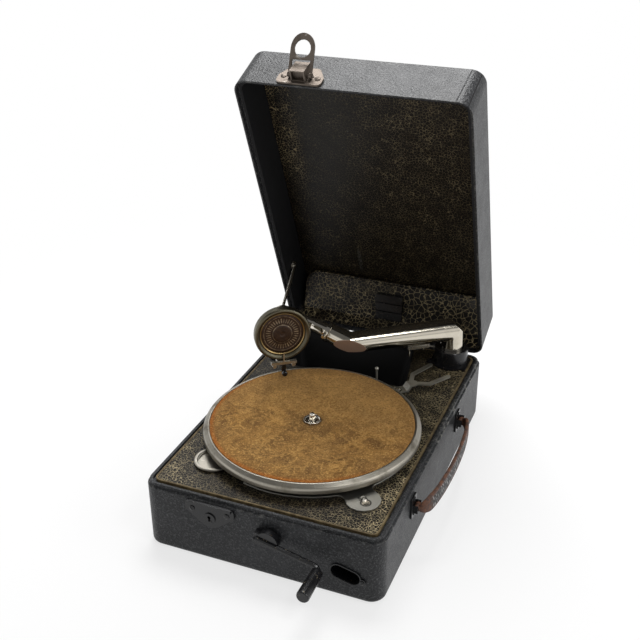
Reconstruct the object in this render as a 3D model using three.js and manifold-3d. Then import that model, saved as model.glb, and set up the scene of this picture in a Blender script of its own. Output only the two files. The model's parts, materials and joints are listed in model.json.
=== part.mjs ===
import * as THREE from 'three';
import { mergeVertices } from 'three/addons/utils/BufferGeometryUtils.js';
import Module from 'manifold-3d';

// Portable wind-up gramophone, lid open. Lengths in millimetres, +Z up, front towards -Y.
// The origin is the centre of the underside of the case.

const wasm = await Module();
wasm.setup();

// Driving sizes. Names ending in Angle are in degrees, and a sideGap, frontGap or backGap is
// measured inwards from that outer face of the case.
const clearance = 0.3;
const overrun = 20;

const box = {
  width: 279, length: 410.4, corner: 17, height: 79.3, wall: 12,
  footEdge: 6, step: 2.4, lipWidth: 3.9, lipRise: 4.4, lipEdge: 0.7, ledge: 80.3,
};
const floor = { thickness: 6 };
const deck = { inset: 9.3, thickness: 3.4, beadWidth: 1.8, beadRise: 0.7 };

// Turntable; the horn mouth, the brake and the motor plate are placed from its rim.
const table = {
  sideGap: 12.5, frontGap: 25.2, feltMargin: 7.5, feltTop: 105.5, feltThickness: 2, sheet: 1.6,
  shoulderDrop: 1, skirtTop: 100.6, skirtLow: 94.6, hub: 16, hubLow: 90, bore: 6,
  spindle: 3.55, spindleTop: 115.2, tip: 2.2, tipRadius: 2.55, deckGap: 1.2,
  washer: 10.2, washerRise: 2.2, washerWall: 1.2,
};
const collar = {
  sideGap: 35.5, backGap: 30.7, radius: 22, bore: 15.4, top: 107, edge: 0.9, flange: 25.5, flangeRise: 2.4,
  tail: 30, tailWidth: 9, screw: 3, lugAngles: [205, 325],
};
const mouth = {
  sideGap: 15.5, backGap: 17.2, tableGap: 14, collarGap: 54, frontCollarGap: 36,
  corner: 9, wall: 1.5, floorHeight: 14, taperShare: 0.16,
};
const throatTube = { level: 44, mouthGap: 2, endRadius: 18.4, wall: 1.6, backShare: 0.12 };
const lid = {
  depth: 61.8, wall: 7, top: 5, edge: 6, skin: 2.1, rebate: 5, openAngle: 68,
  pivotBehind: 4, pivotAbove: 2.4, seam: 0.3,
};
const lining = { thickness: 1.2, margin: 1.4, corner: 8 };

// Places in the lid: S along it from the hinge end, H deep from its rim.
const deflector = {
  sideGap: 16.5, sheet: 1.3, rimS: 57, rimH: 49, foldS: 12.5, foldH: 20, footS: 9.4, footH: 3,
  bead: 2, foldBead: 1.6, corner: 18, rightGap: 0.6,
};
const lidBlock = {
  centre: 2, width: 38, foot: 1.5, stepCount: 3, step: 12.4, thickness: 3, rise: 2.6, gap: 1.4,
};
const hinge = {
  spacing: 150, leafWidth: 44, leafHeight: 15, leaf: 1.2, barrel: 3.1, pin: 1.7, knuckleCount: 5,
};
const screwHead = { radius: 3.4, rise: 1.4, slot: 0.9, slotDepth: 0.7, slotAngle: 57 };
const keeper = {
  x: -56, halfWidth: 29.5, top: 78.2, shoulder: 66, apex: 48.5, plate: 2.2, corner: 6,
  ledge: 2.6, ledgeDrop: 4, screwX: 20.8, screwZ: 68.2, boss: 7, bossRise: 1.6,
  keyZ: 60, key: 1.9, keyLength: 7,
};
const latch = {
  x: -59, halfWidth: 27, low: 1.5, shoulder: 15, top: 31, plate: 2.4, corner: 6, screwX: 20.5, screwH: 13,
  boxWidth: 17.6, boxLow: 5.2, boxHigh: 25.2, boxRise: 13.6, boxFarRise: 12, boxWall: 1.6, boxMouth: 4.8,
  pivotH: 12, pivotOff: 6.3, pin: 1.3, tiltAngle: 48,
  hasp: 2, haspHalf: 14.3, legWidth: 3.3, eye: 3.2, neck: 16.4, hole: 9.8, crown: 17, holeAboveKey: 3,
};
const stay = {
  sideGap: 10.3, thickness: 1.6, width: 7, lidS: 88, lidH: 25, length: 118, footZ: 90, footPin: 2.4,
  eye: 5, pin: 2.2, boss: 6,
};
const crank = {
  x: 15, z: 55, rose: 10, roseRise: 1.8, shaft: 4.2, hub: 12.5, hubDepth: 9, lug: 16, lugDrop: 7,
  rod: 3.1, dropAngle: 13, reach: 62, bend: 8, gripGap: 0.5, gripStart: 6.6, gripLength: 40,
  gripEnd: 7.2, grip: 6.5, gripEdge: 0.9, frameGap: 4, pinion: 8, pinionLength: 9,
};
const store = {
  sideGap: 39.6, z: 32.1, halfWidth: 18, halfHeight: 9.6, tiltAngle: -14, rim: 1.5, sleeve: 0.8,
  rise: 1.5, tail: 19.4, ear: 4.2, screw: 2.55,
};
const plate = {
  rimGap: 7, thickness: 2, hubMargin: 18, lobeOut: 15.1, lobeAngle: -44.1, lobe: 19.5, fillet: 8,
  screw: 4.6, screwRise: 3.2,
};

// Motor; its places are from the turntable's axis.
const frame = {
  x: 12, y: -15, width: 150, length: 124, thickness: 2.5, level: 22, corner: 12,
  pillar: 4.5, pillarInset: 12,
};
const barrel = {
  x: 48, y: -17, radius: 33, low: 28, high: 57, wheel: 39, wheelThickness: 2.5, arbor: 5,
};
const idler = { frameGap: 39, y: 25, radius: 21, low: 62, thickness: 3, arbor: 3 };
const governor = {
  frameGap: 33, y: -31, z: 48, length: 62, shaft: 2.2, disc: 13, discThickness: 2.4, discAt: 20.7,
  ball: 5.4, arm: 13, ballCount: 3, cheek: 4,
};
const winder = { frameGap: 9, radius: 14, thickness: 3.4, arbor: 3.4 };

// Tonearm; its bend is placed from the collar, and the neck and sound box from the bend.
const arm = {
  axisZ: 133, riser: 15, riserLow: 88, end: 13.6, bendX: -112.7, bendY: -84.1, facet: 6.1,
  cornerFacet: 8, wall: 1.6, stub: 12, stubLength: 27, wayShares: [-0.955, 0.06, 0.28],
};
const trip = { along: 40, length: 14, width: 9, drop: 5, pinAlong: 22, pin: 1.6, pinDrop: 11 };
const neck = {
  ring: 13.2, ringWidth: 5, sleeve: 9.6, sleeveEnd: 8, sleeveLength: 20, tube: 7, kneeLength: 21,
  elbowX: -92.3, elbowY: 1.6, elbowRise: 28, elbowShare: 0.35, tabLength: 11, tabRise: 5,
};
const reproducer = {
  x: -64.5, y: -62.7, rise: 32, azimuthAngle: 36, radius: 35, ringInner: 28.6, front: 6, back: 6,
  edge: 2.1, lipDrop: 2.6, shell: 32, shellBack: 11, shellEdge: 2.4, boss: 9, bossBack: 15,
  brass: 26.4, brassFront: 2.6, face: 26.1, faceFront: 1.4, faceBack: 0.8,
  dish: 18, dimple: 9, dimpleRise: 1.2,
};
const stylus = {
  bar: 0.9, top: 25, out: 7.4, cross: 16, crossHeight: 3.4, crossAt: 38, crossDepth: 4,
  screw: 2.6, screwX: 12, screwDrop: 3.2, holder: 3, holderLow: 56,
  thumb: 3.6, thumbEnd: 2.5, thumbAt: 51.5, thumbSide: 3.5, thumbLength: 4.4,
  needle: 0.8, needleTip: 59, needleTop: 47, needleTaper: 4,
};

// Brake; pivots stand out from the turntable's rim, and the fork's points are shares of the way
// from its eye to the flange of the collar, along and to the left.
const fork = {
  eyeOut: 16.1, eyeAngle: 64.3, eye: 7.5, sheet: 2, low: 85, high: 91, bar: 13, tine: 5.6,
  rivet: 4, rivetEnd: 2.4, rivetRise: 2, rampShare: 0.6, headShare: 0.42,
  stepShares: [0.112, -0.059], neckShares: [0.235, -0.113],
  leftShares: [0.438, 0.066], leftTipShares: [0.862, 0.056],
  rightShares: [0.404, -0.308], rightTipShares: [0.779, -0.372],
};
const post = {
  pivotOut: -0.8, pivotAngle: 65.7, wireOut: 10, wireAngle: 76.1, width: 7, sheet: 1.8, low: 84.8,
  pin: 1.5, ball: 2.5, top: 112, eye: 5, rivet: 2.6,
};
const cup = {
  sideGap: 56.5, frontGap: 62.6, radius: 22.4, low: 84.4, high: 88.4, rim: 3.4, step: 1,
  inner: 17.4, depth: 2.8, pivotX: -12, pivotY: 9, pin: 2.6, pinRise: 1,
};
const handle = {
  z: 59, front: -104, back: 78, height: 22, thickness: 5, edge: 2, bow: 17, archShare: 0.8,
  pinOut: 6.2, pin: 2, eye: 3.6, eyeLength: 10, endWidth: 9, plateWidth: 17, plateHeight: 27,
  plate: 2, cheek: 2, cheekHeight: 9, stud: 3.2, studAt: 9, studRise: 1.6,
};
const round = { fine: 48, medium: 28, small: 16, tiny: 10, corner: 5, edge: 2 };
const innerCornerShare = 0.25;
const weldShare = 0.001;

// Places worked out from the driving sizes
const toRadians = Math.PI / 180;
const across = new THREE.Vector3(1, 0, 0);
const rearward = new THREE.Vector3(0, 1, 0);
const upward = new THREE.Vector3(0, 0, 1);
const backFace = box.length / 2;
const frontFace = -box.length / 2;
const sideFace = box.width / 2;
const deckLow = box.ledge + clearance;
const deckTop = deckLow + deck.thickness;
const rimZ = box.height + lid.seam;
const lidTop = rimZ + lid.depth;
const liningTop = lidTop - lid.top - clearance;
const lidPivot = new THREE.Vector3(0, backFace + lid.pivotBehind, rimZ + lid.pivotAbove);

const tableRim = sideFace - table.sideGap;
const tableY = frontFace + table.frontGap + tableRim;
const feltRadius = tableRim - table.feltMargin;
const plateRadius = tableRim - plate.rimGap;
const collarX = sideFace - collar.sideGap;
const collarY = backFace - collar.backGap;
const cupX = -sideFace + cup.sideGap;
const cupY = frontFace + cup.frontGap;
const storeX = sideFace - store.sideGap;
const stayX = -sideFace + stay.sideGap;
const deflectorLeft = -sideFace + deflector.sideGap;

const mouthRight = collarX - mouth.collarGap;
const mouthBack = backFace - mouth.backGap;
const mouthFront = tableY + tableRim + mouth.tableGap;
const mouthLength = mouthBack - mouthFront;

const frameY = tableY + frame.y;
const frameLeft = frame.x - frame.width / 2;
const frameFront = frameY - frame.length / 2;
const frameTop = frame.level + frame.thickness + clearance;
const barrelY = tableY + barrel.y;
const governorX = frameLeft + governor.frameGap;
const governorY = tableY + governor.y;
const crankInner = frameFront - crank.frameGap;

// Point on the deck, out from the turntable's rim at an angle about its axis.
function besideTable(out, degrees) {
  const angle = degrees * toRadians;
  const reach = tableRim + out;
  return [reach * Math.cos(angle), tableY + reach * Math.sin(angle)];
}

// Finishes
const finish = {
  leathercloth: { color: 0x35353a, roughness: 0.8, metalness: 0 },
  board: { color: 0x4a3b2c, roughness: 0.85, metalness: 0 },
  crackle: { color: 0x57503f, roughness: 0.55, metalness: 0 },
  black: { color: 0x141416, roughness: 0.4, metalness: 0.2 },
  nickel: { color: 0xc9c4bb, roughness: 0.25, metalness: 1 },
  steel: { color: 0x9a9a97, roughness: 0.4, metalness: 1 },
  brass: { color: 0xb08d4c, roughness: 0.35, metalness: 1 },
  felt: { color: 0xa07f4f, roughness: 0.95, metalness: 0 },
  leather: { color: 0x6b4733, roughness: 0.7, metalness: 0 },
  face: { color: 0x4a3524, roughness: 0.45, metalness: 0.2 },
};

const piece = (name, geometry, look) => {
  const mesh = new THREE.Mesh(geometry, new THREE.MeshStandardMaterial(look));
  mesh.name = name;
  return mesh;
};

// Closed surface through rings of points; a ring of one point closes to a tip.
function skin(rings, looped = false) {
  const points = [];
  const faces = [];
  const starts = rings.map((ring) => {
    const start = points.length;
    points.push(...ring);
    return start;
  });
  const last = looped ? rings.length : rings.length - 1;
  for (let i = 0; i < last; i += 1) {
    const j = (i + 1) % rings.length;
    const count = Math.max(rings[i].length, rings[j].length);
    for (let k = 0; k < count; k += 1) {
      const next = (k + 1) % count;
      const a = starts[i] + (rings[i].length > 1 ? k : 0);
      const b = starts[i] + (rings[i].length > 1 ? next : 0);
      const c = starts[j] + (rings[j].length > 1 ? k : 0);
      const d = starts[j] + (rings[j].length > 1 ? next : 0);
      if (a !== b) faces.push(a, b, d);
      if (c !== d) faces.push(a, d, c);
    }
  }
  if (!looped) {
    for (const [index, flip] of [[0, true], [rings.length - 1, false]]) {
      const start = starts[index];
      for (let k = 1; k < rings[index].length - 1; k += 1) {
        faces.push(start, start + (flip ? k + 1 : k), start + (flip ? k : k + 1));
      }
    }
  }
  let volume = 0;
  for (let f = 0; f < faces.length; f += 3) {
    const [p, q, r] = [points[faces[f]], points[faces[f + 1]], points[faces[f + 2]]];
    volume += p.dot(q.clone().cross(r));
  }
  if (volume < 0) faces.reverse();
  const geometry = new THREE.BufferGeometry();
  geometry.setAttribute('position', new THREE.Float32BufferAttribute(points.flatMap((p) => p.toArray()), 3));
  geometry.setIndex(faces);
  return geometry;
}

const quarters = [[1, 1], [-1, 1], [-1, -1], [1, -1]];

// Outline of a rectangle with rounded corners, anticlockwise from the right-hand side.
function roundedOutline(width, length, radius, steps = round.corner) {
  const points = [];
  quarters.forEach(([sx, sy], quarter) => {
    for (let i = 0; i <= steps; i += 1) {
      const angle = ((quarter + i / steps) * Math.PI) / 2;
      points.push([
        sx * (width / 2 - radius) + radius * Math.cos(angle),
        sy * (length / 2 - radius) + radius * Math.sin(angle),
      ]);
    }
  });
  return points;
}

const ringAt = (outline, z) => outline.map(([x, y]) => new THREE.Vector3(x, y, z));

// Wall round a rounded rectangle, from a closed section of inset and height.
function wallRound(width, length, radius, section) {
  const rings = section.map(([inset, z]) => {
    const corner = Math.max(radius - inset, radius * innerCornerShare);
    return ringAt(roundedOutline(width - 2 * inset, length - 2 * inset, corner), z);
  });
  return skin(rings, true);
}

// Solid of revolution about +Z from a section of radius and height.
function turned(section, segments = round.medium) {
  const closed = section[0][0] > 0;
  const rings = section.map(([radius, z]) => {
    if (radius === 0) return [new THREE.Vector3(0, 0, z)];
    return Array.from({ length: segments }, (_, k) => {
      const angle = (k / segments) * 2 * Math.PI;
      return new THREE.Vector3(radius * Math.cos(angle), radius * Math.sin(angle), z);
    });
  });
  return skin(rings, closed);
}

const drum = (radius, low, high, segments) =>
  turned([[0, low], [radius, low], [radius, high], [0, high]], segments);

// Flat piece from an outline, with optional holes, standing on z = low.
function flat(outline, low, high, holes = []) {
  const points = (ring) => ring.map(([x, y]) => new THREE.Vector2(x, y));
  const shape = new THREE.Shape(points(outline));
  for (const hole of holes) shape.holes.push(new THREE.Path(points(hole)));
  const geometry = new THREE.ExtrudeGeometry(shape, { depth: high - low, bevelEnabled: false });
  return geometry.translate(0, 0, low);
}

const circle = (x, y, radius, segments = round.small) =>
  Array.from({ length: segments }, (_, k) => {
    const angle = (k / segments) * 2 * Math.PI;
    return [x + radius * Math.cos(angle), y + radius * Math.sin(angle)];
  });

// Polygon with every corner rounded to its own or the common radius.
function softened(corners, radius, steps = round.corner) {
  const points = [];
  corners.forEach(([x, y], i) => {
    const here = new THREE.Vector2(x, y);
    const before = new THREE.Vector2(...corners[(i + corners.length - 1) % corners.length]).sub(here);
    const after = new THREE.Vector2(...corners[(i + 1) % corners.length]).sub(here);
    const half = Math.acos(before.clone().normalize().dot(after.clone().normalize())) / 2;
    const reach = Math.min(radius / Math.tan(half), before.length() / 2, after.length() / 2);
    const from = here.clone().addScaledVector(before.normalize(), reach);
    const to = here.clone().addScaledVector(after.normalize(), reach);
    for (let s = 0; s <= steps; s += 1) {
      const t = s / steps;
      const a = from.clone().lerp(here, t);
      const b = here.clone().lerp(to, t);
      points.push(a.lerp(b, t).toArray());
    }
  });
  return points;
}

// Section carried along a path, with its first axis kept close to a given side.
function swept(path, section, side) {
  const rings = path.map((point, i) => {
    const next = path[Math.min(i + 1, path.length - 1)];
    const ahead = next.clone().sub(path[Math.max(i - 1, 0)]).normalize();
    const second = ahead.clone().cross(side).normalize();
    const first = second.clone().cross(ahead);
    return section(i / (path.length - 1)).map(([a, b]) =>
      point.clone().addScaledVector(first, a).addScaledVector(second, b));
  });
  return skin(rings);
}

const rod = (path, radius, side, segments = round.tiny, flare = 0) =>
  swept(path, (t) => circle(0, 0, radius + t * flare, segments), side);

const solid = (geometry) => {
  const bare = geometry.clone();
  for (const name of ['normal', 'uv']) bare.deleteAttribute(name);
  const merged = mergeVertices(bare, clearance * weldShare);
  return new wasm.Manifold(new wasm.Mesh({
    numProp: 3,
    vertProperties: new Float32Array(merged.attributes.position.array),
    triVerts: new Uint32Array(merged.index.array),
  }));
};

const shaped = (body) => {
  const mesh = body.getMesh();
  const geometry = new THREE.BufferGeometry();
  geometry.setAttribute('position', new THREE.Float32BufferAttribute(mesh.vertProperties, 3));
  geometry.setIndex(Array.from(mesh.triVerts));
  return geometry;
};

const join = (...parts) => shaped(parts.map(solid).reduce((a, b) => a.add(b)));
const cut = (whole, ...parts) => shaped(parts.map(solid).reduce((a, b) => a.subtract(b), solid(whole)));
const kept = (whole, room) => shaped(solid(whole).intersect(solid(room)));

// Cylinder or cone between two points.
function bar(from, to, radius, end = radius, segments = round.medium) {
  const way = to.clone().sub(from);
  const geometry = turned([[0, 0], [radius, 0], [end, way.length()], [0, way.length()]], segments);
  const turn = new THREE.Quaternion().setFromUnitVectors(upward, way.clone().normalize());
  return geometry.applyQuaternion(turn).translate(from.x, from.y, from.z);
}

// Cuts away what lies ahead of a plane.
function trimmed(geometry, point, normal) {
  const size = box.length;
  const block = new THREE.BoxGeometry(size, size, size).translate(0, 0, size / 2);
  const turn = new THREE.Quaternion().setFromUnitVectors(upward, normal.clone().normalize());
  return cut(geometry, block.applyQuaternion(turn).translate(point.x, point.y, point.z));
}

function slab(x0, x1, y0, y1, z0, z1) {
  const block = new THREE.BoxGeometry(x1 - x0, y1 - y0, z1 - z0);
  return block.translate((x0 + x1) / 2, (y0 + y1) / 2, (z0 + z1) / 2);
}

// Turns a piece drawn flat so that it stands on the front wall or on the right-hand wall.
const onFront = (geometry) => geometry.rotateX(Math.PI / 2);
const onSide = (geometry) =>
  geometry.applyMatrix4(new THREE.Matrix4().makeBasis(rearward, upward, across));

// Domed screw head standing on z = 0, its slot turned one way, the other way or straight.
function slottedHead(radius, way) {
  const { rise, slot, slotDepth, slotAngle } = screwHead;
  const section = [[0, -clearance], [radius, -clearance], [radius, rise / 2], [radius / 2, rise], [0, rise]];
  const groove = slab(-radius * 2, radius * 2, -slot / 2, slot / 2, rise - slotDepth, rise + slotDepth);
  return cut(turned(section, round.tiny), groove.rotateZ(way * slotAngle * toRadians));
}

// Case
function caseShell() {
  const lipIn = box.step + box.lipWidth;
  const lipTop = box.height + box.lipRise;
  const quarter = box.footEdge * (1 - Math.SQRT1_2);
  const section = [
    [box.footEdge, 0], [quarter, quarter], [0, box.footEdge], [0, box.height],
    [box.step, box.height], [box.step, lipTop - box.lipEdge], [box.step + box.lipEdge, lipTop],
    [lipIn - box.lipEdge, lipTop], [lipIn, lipTop - box.lipEdge], [lipIn, box.ledge],
    [box.wall, box.ledge], [box.wall, 0],
  ];
  const shell = wallRound(box.width, box.length, box.corner, section);
  const crankHole = bar(
    new THREE.Vector3(crank.x, frontFace - overrun, crank.z),
    new THREE.Vector3(crank.x, frontFace + overrun, crank.z),
    crank.shaft + clearance * 2, undefined, round.small,
  );
  const storeHole = flat(storeOutline(store.rim - store.sleeve - clearance), -overrun, overrun);
  return cut(shell, crankHole, onStore(storeHole));
}

// Round-ended slot of the hole that stores the crank, drawn about its own centre.
const storeOutline = (inset) => roundedOutline(
  2 * (store.halfWidth - inset), 2 * (store.halfHeight - inset), store.halfHeight - inset,
);

const onStore = (geometry) =>
  onFront(geometry.rotateZ(store.tiltAngle * toRadians).translate(storeX, store.z, 0))
    .translate(0, frontFace, 0);

// Rounded rectangle that keeps a given distance inside the outer faces of the case.
const insideOutline = (inset, corner) =>
  roundedOutline(box.width - 2 * inset, box.length - 2 * inset, corner);

const bottomBoard = () =>
  flat(insideOutline(box.wall + clearance, box.corner - box.wall), 0, floor.thickness);

function mouthOutline(inset) {
  const left = -sideFace + mouth.sideGap + inset;
  const corners = [
    [mouthRight - inset, mouthBack - inset], [left, mouthBack - inset],
    [left, mouthFront + inset], [collarX - mouth.frontCollarGap - inset, mouthFront + inset],
  ];
  return softened(corners, mouth.corner);
}

function motorBoard() {
  const wide = box.width - 2 * deck.inset;
  const long = box.length - 2 * deck.inset;
  const radius = box.corner - deck.inset;
  const section = [
    [0, deckTop - deck.beadRise], [0, deckTop + deck.beadRise / 2],
    [deck.beadWidth / 2, deckTop + deck.beadRise],
    [deck.beadWidth, deckTop + deck.beadRise / 2], [deck.beadWidth, deckTop - deck.beadRise],
  ];
  const sheet = flat(roundedOutline(wide, long, radius), deckLow, deckTop, [
    mouthOutline(0),
    circle(0, tableY, table.spindle + table.deckGap),
    circle(collarX, collarY, collar.bore - clearance),
  ]);
  return join(sheet, wallRound(wide, long, radius, section));
}

function soundChamber() {
  const outline = (gap, z) => ringAt(mouthOutline(gap), z);
  const wall = clearance + mouth.wall;
  const taper = mouthLength * mouth.taperShare;
  const outer = skin([
    outline(clearance + taper, mouth.floorHeight),
    outline(clearance, deckLow), outline(clearance, deckTop - clearance),
  ]);
  const inner = skin([
    outline(wall + taper, mouth.floorHeight + mouth.wall),
    outline(wall, deckLow), outline(wall, deckTop + clearance),
  ]);
  return cut(outer, inner, throatRun(clearance * 2));
}

// Short curved horn that leads from under the tonearm into the sound chamber.
function throatRun(extra) {
  const { level, mouthGap, endRadius, backShare } = throatTube;
  const top = new THREE.Vector3(collarX, collarY, deckLow - clearance);
  const start = top.clone().setZ(top.z - collar.bore / 2);
  const knee = new THREE.Vector3(collarX, collarY, level);
  const endY = (mouthFront + mouthBack) / 2 + mouthLength * backShare;
  const end = new THREE.Vector3(mouthRight + mouthGap, endY, level);
  const curve = new THREE.QuadraticBezierCurve3(start, knee, end).getPoints(round.corner);
  const flare = endRadius - collar.bore;
  return rod([top, ...curve], collar.bore + extra, rearward, round.small, flare);
}

function throat() {
  const open = drum(collar.bore - throatTube.wall, deckLow - 2 * clearance, deckLow, round.small);
  return cut(throatRun(0), throatRun(-throatTube.wall), open.translate(collarX, collarY, 0));
}

function keeperPlate() {
  const { x, halfWidth, top, shoulder, apex, plate: thick } = keeper;
  const outline = softened([
    [x - halfWidth, top], [x - halfWidth, shoulder], [x - keeper.boss, apex], [x + keeper.boss, apex],
    [x + halfWidth, shoulder], [x + halfWidth, top],
  ], keeper.corner);
  const body = flat(outline, clearance, thick + clearance);
  const ledge = slab(x - halfWidth + keeper.corner / 2, x + halfWidth - keeper.corner / 2,
    top - keeper.ledgeDrop, top, thick, thick + keeper.ledge);
  const boss = drum(keeper.boss, clearance, thick + keeper.bossRise, round.small).translate(x, keeper.keyZ, 0);
  const heads = [-1, 1].map((side) => slottedHead(screwHead.radius, side)
    .translate(x + side * keeper.screwX, keeper.screwZ, thick + clearance));
  const key = flat(circle(x, keeper.keyZ + keeper.key, keeper.key, round.tiny), thick, overrun);
  const slot = slab(x - keeper.key / 2, x + keeper.key / 2,
    keeper.keyZ - keeper.keyLength / 2, keeper.keyZ, thick, overrun);
  return onFront(cut(join(body, ledge, boss, ...heads), key, slot)).translate(0, frontFace, 0);
}

const crankRose = () => {
  const bore = crank.shaft + clearance * 2;
  const section = [
    [bore, clearance], [crank.rose, clearance], [crank.rose, crank.roseRise / 2],
    [crank.rose - crank.roseRise / 2, crank.roseRise], [bore, crank.roseRise],
  ];
  return onFront(turned(section, round.small).translate(crank.x, crank.z, 0)).translate(0, frontFace, 0);
};

function storeFerrule() {
  const { rim, sleeve, rise, tail, ear } = store;
  const top = rise + clearance;
  const inside = [storeOutline(rim)];
  const ring = flat(storeOutline(0), clearance, top, inside);
  const lining = flat(storeOutline(rim - sleeve), -box.wall, rise, inside);
  const lug = join(
    slab(0, tail, -ear / 2, ear / 2, clearance, top),
    drum(ear, clearance, top, round.small).translate(tail, 0, 0),
    slottedHead(store.screw, 1).translate(tail, 0, top),
  );
  const room = flat(storeOutline(rim - sleeve + clearance), -overrun, overrun);
  return onStore(join(cut(join(ring, lug), room), lining));
}

// Motor
function motorPlate() {
  const { thickness, lobeOut, lobeAngle, screw, screwRise } = plate;
  const low = deckTop + clearance;
  const distance = plateRadius + lobeOut;
  const disc = drum(plateRadius, low, low + thickness, round.fine);
  const lug = flat(lugOutline(distance), low, low + thickness);
  const open = drum(table.hub + clearance, low - overrun, low + overrun);
  const head = turned([
    [0, 0], [screw, 0], [screw, screwRise / 2], [screw / 2, screwRise], [0, screwRise],
  ], round.small).translate(distance, 0, low + thickness - clearance);
  const whole = join(cut(join(disc, lug), open), head).rotateZ(lobeAngle * toRadians);
  const side = slab(-box.width, -table.hub - plate.hubMargin, frontFace, backFace, 0, box.length);
  return cut(whole.translate(0, tableY, 0), side);
}

// Round lug of the plate, drawn along +X from the plate's centre, with a hollow curve on each side
// that meets both the lug and the rim of the plate.
function lugOutline(distance) {
  const far = plate.lobe + plate.fillet;
  const wide = plateRadius + plate.fillet - clearance;
  const lean = Math.acos((far ** 2 + distance ** 2 - wide ** 2) / (2 * far * distance));
  const arc = (x, y, radius, from, to) => Array.from({ length: round.tiny + 1 }, (_, k) => {
    const angle = from + (k / round.tiny) * (to - from);
    return [x + radius * Math.cos(angle), y + radius * Math.sin(angle)];
  });
  const [x, y] = [distance - far * Math.cos(lean), far * Math.sin(lean)];
  const hollow = arc(x, y, plate.fillet, -lean, Math.atan2(-y, -x)).slice(1);
  const mirrored = hollow.map(([a, b]) => [a, -b]).reverse();
  return [...arc(distance, 0, plate.lobe, lean - Math.PI, Math.PI - lean), ...hollow, ...mirrored];
}

function motorFrame() {
  const { x, width, length, thickness, level, pillar, pillarInset } = frame;
  const base = flat(roundedOutline(width, length, frame.corner), level, level + thickness);
  const posts = quarters.map(([sx, sy]) => drum(pillar, level, deckLow - clearance, round.tiny)
    .translate(sx * (width / 2 - pillarInset), sy * (length / 2 - pillarInset), 0));
  return join(base, ...posts).translate(x, frameY, 0);
}

// Wheel or drum on an arbor that stands between the frame and the deck, in steps of radius and height.
const onArbor = (radius, steps, segments) => turned([
  [0, frameTop], [radius, frameTop], ...steps, [radius, deckLow - clearance], [0, deckLow - clearance],
], segments);

function springBarrel() {
  const { arbor, radius, low, high, wheel, wheelThickness } = barrel;
  const top = high + wheelThickness;
  return onArbor(arbor, [
    [arbor, low], [radius, low], [radius, high], [wheel, high], [wheel, top], [arbor, top],
  ], round.medium).translate(barrel.x, barrelY, 0);
}

function idlerWheel() {
  const { arbor, radius, low, thickness, frameGap } = idler;
  return onArbor(arbor, [
    [arbor, low], [radius, low], [radius, low + thickness], [arbor, low + thickness],
  ], round.medium).translate(frameLeft + frameGap, tableY + idler.y, 0);
}

function governorPost(side) {
  const { z, length, cheek, shaft } = governor;
  const at = governorY + side * (length / 2 + cheek);
  const block = slab(governorX - cheek * 2, governorX + cheek * 2, at - cheek / 2, at + cheek / 2,
    frameTop, z + cheek * 2);
  const end = at - (side * cheek) / 2;
  const socket = bar(
    new THREE.Vector3(governorX, end - side * cheek, z),
    new THREE.Vector3(governorX, end + (side * cheek) / 2, z),
    shaft + clearance, undefined, round.tiny,
  );
  return cut(block, socket);
}

function governorSpinner() {
  const { z, length, shaft, disc, discThickness, discAt, ball, arm: swing, ballCount, cheek } = governor;
  const centre = new THREE.Vector3(governorX, governorY, z);
  const line = (from, to, radius) => bar(
    centre.clone().addScaledVector(rearward, from),
    centre.clone().addScaledVector(rearward, to), radius, undefined, round.tiny,
  );
  const weights = Array.from({ length: ballCount }, (_, k) => {
    const angle = (k / ballCount) * 2 * Math.PI;
    const out = centre.clone().addScaledVector(across, swing * Math.cos(angle));
    out.addScaledVector(upward, swing * Math.sin(angle));
    const weight = new THREE.IcosahedronGeometry(ball, 1).translate(out.x, out.y, out.z);
    return join(weight, bar(centre, out, shaft, undefined, round.tiny));
  });
  const reach = length / 2 + cheek - clearance;
  return join(line(-reach, reach, shaft), line(discAt, discAt + discThickness, disc), ...weights);
}

function windingWheel() {
  const { arbor, radius, thickness } = winder;
  const top = crank.z - crank.pinion - clearance;
  return turned([
    [0, frameTop], [arbor, frameTop],
    [arbor, top - thickness], [radius, top - thickness], [radius, top], [0, top],
  ], round.small).translate(crank.x, frameFront + winder.frameGap, 0);
}

// Crank
function crankHub() {
  const face = frontFace - crank.roseRise - clearance;
  const onAxis = (y) => new THREE.Vector3(crank.x, y, crank.z);
  const shaft = bar(onAxis(face - clearance), onAxis(crankInner), crank.shaft, undefined, round.small);
  const pinion = bar(onAxis(crankInner), onAxis(crankInner + crank.pinionLength), crank.pinion,
    undefined, round.small);
  const disc = circle(0, 0, crank.hub, round.medium).filter(([, y]) => y > -crank.lugDrop);
  const lug = slab(-crank.lug, 0, -crank.lugDrop, crank.rod * 2, 0, crank.hubDepth);
  const knuckle = join(flat(disc, 0, crank.hubDepth), lug).rotateZ(-crank.dropAngle * toRadians);
  const placed = onFront(knuckle.translate(crank.x, crank.z, 0)).translate(0, face, 0);
  return cut(join(shaft, pinion, placed), crankSlot());
}

// Frame of the arm: the way it points, and the middle of the knuckle.
function crankFrame() {
  const angle = -crank.dropAngle * toRadians;
  const y = frontFace - crank.roseRise - clearance - crank.hubDepth;
  return {
    way: new THREE.Vector3(Math.cos(angle), 0, Math.sin(angle)),
    origin: new THREE.Vector3(crank.x, y, crank.z),
  };
}

function crankSlot() {
  const { way, origin } = crankFrame();
  const from = origin.clone().addScaledVector(way, -crank.lug * 2);
  const to = origin.clone().addScaledVector(way, crank.lug * 2);
  return bar(from, to, crank.rod + clearance, undefined, round.small);
}

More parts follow.
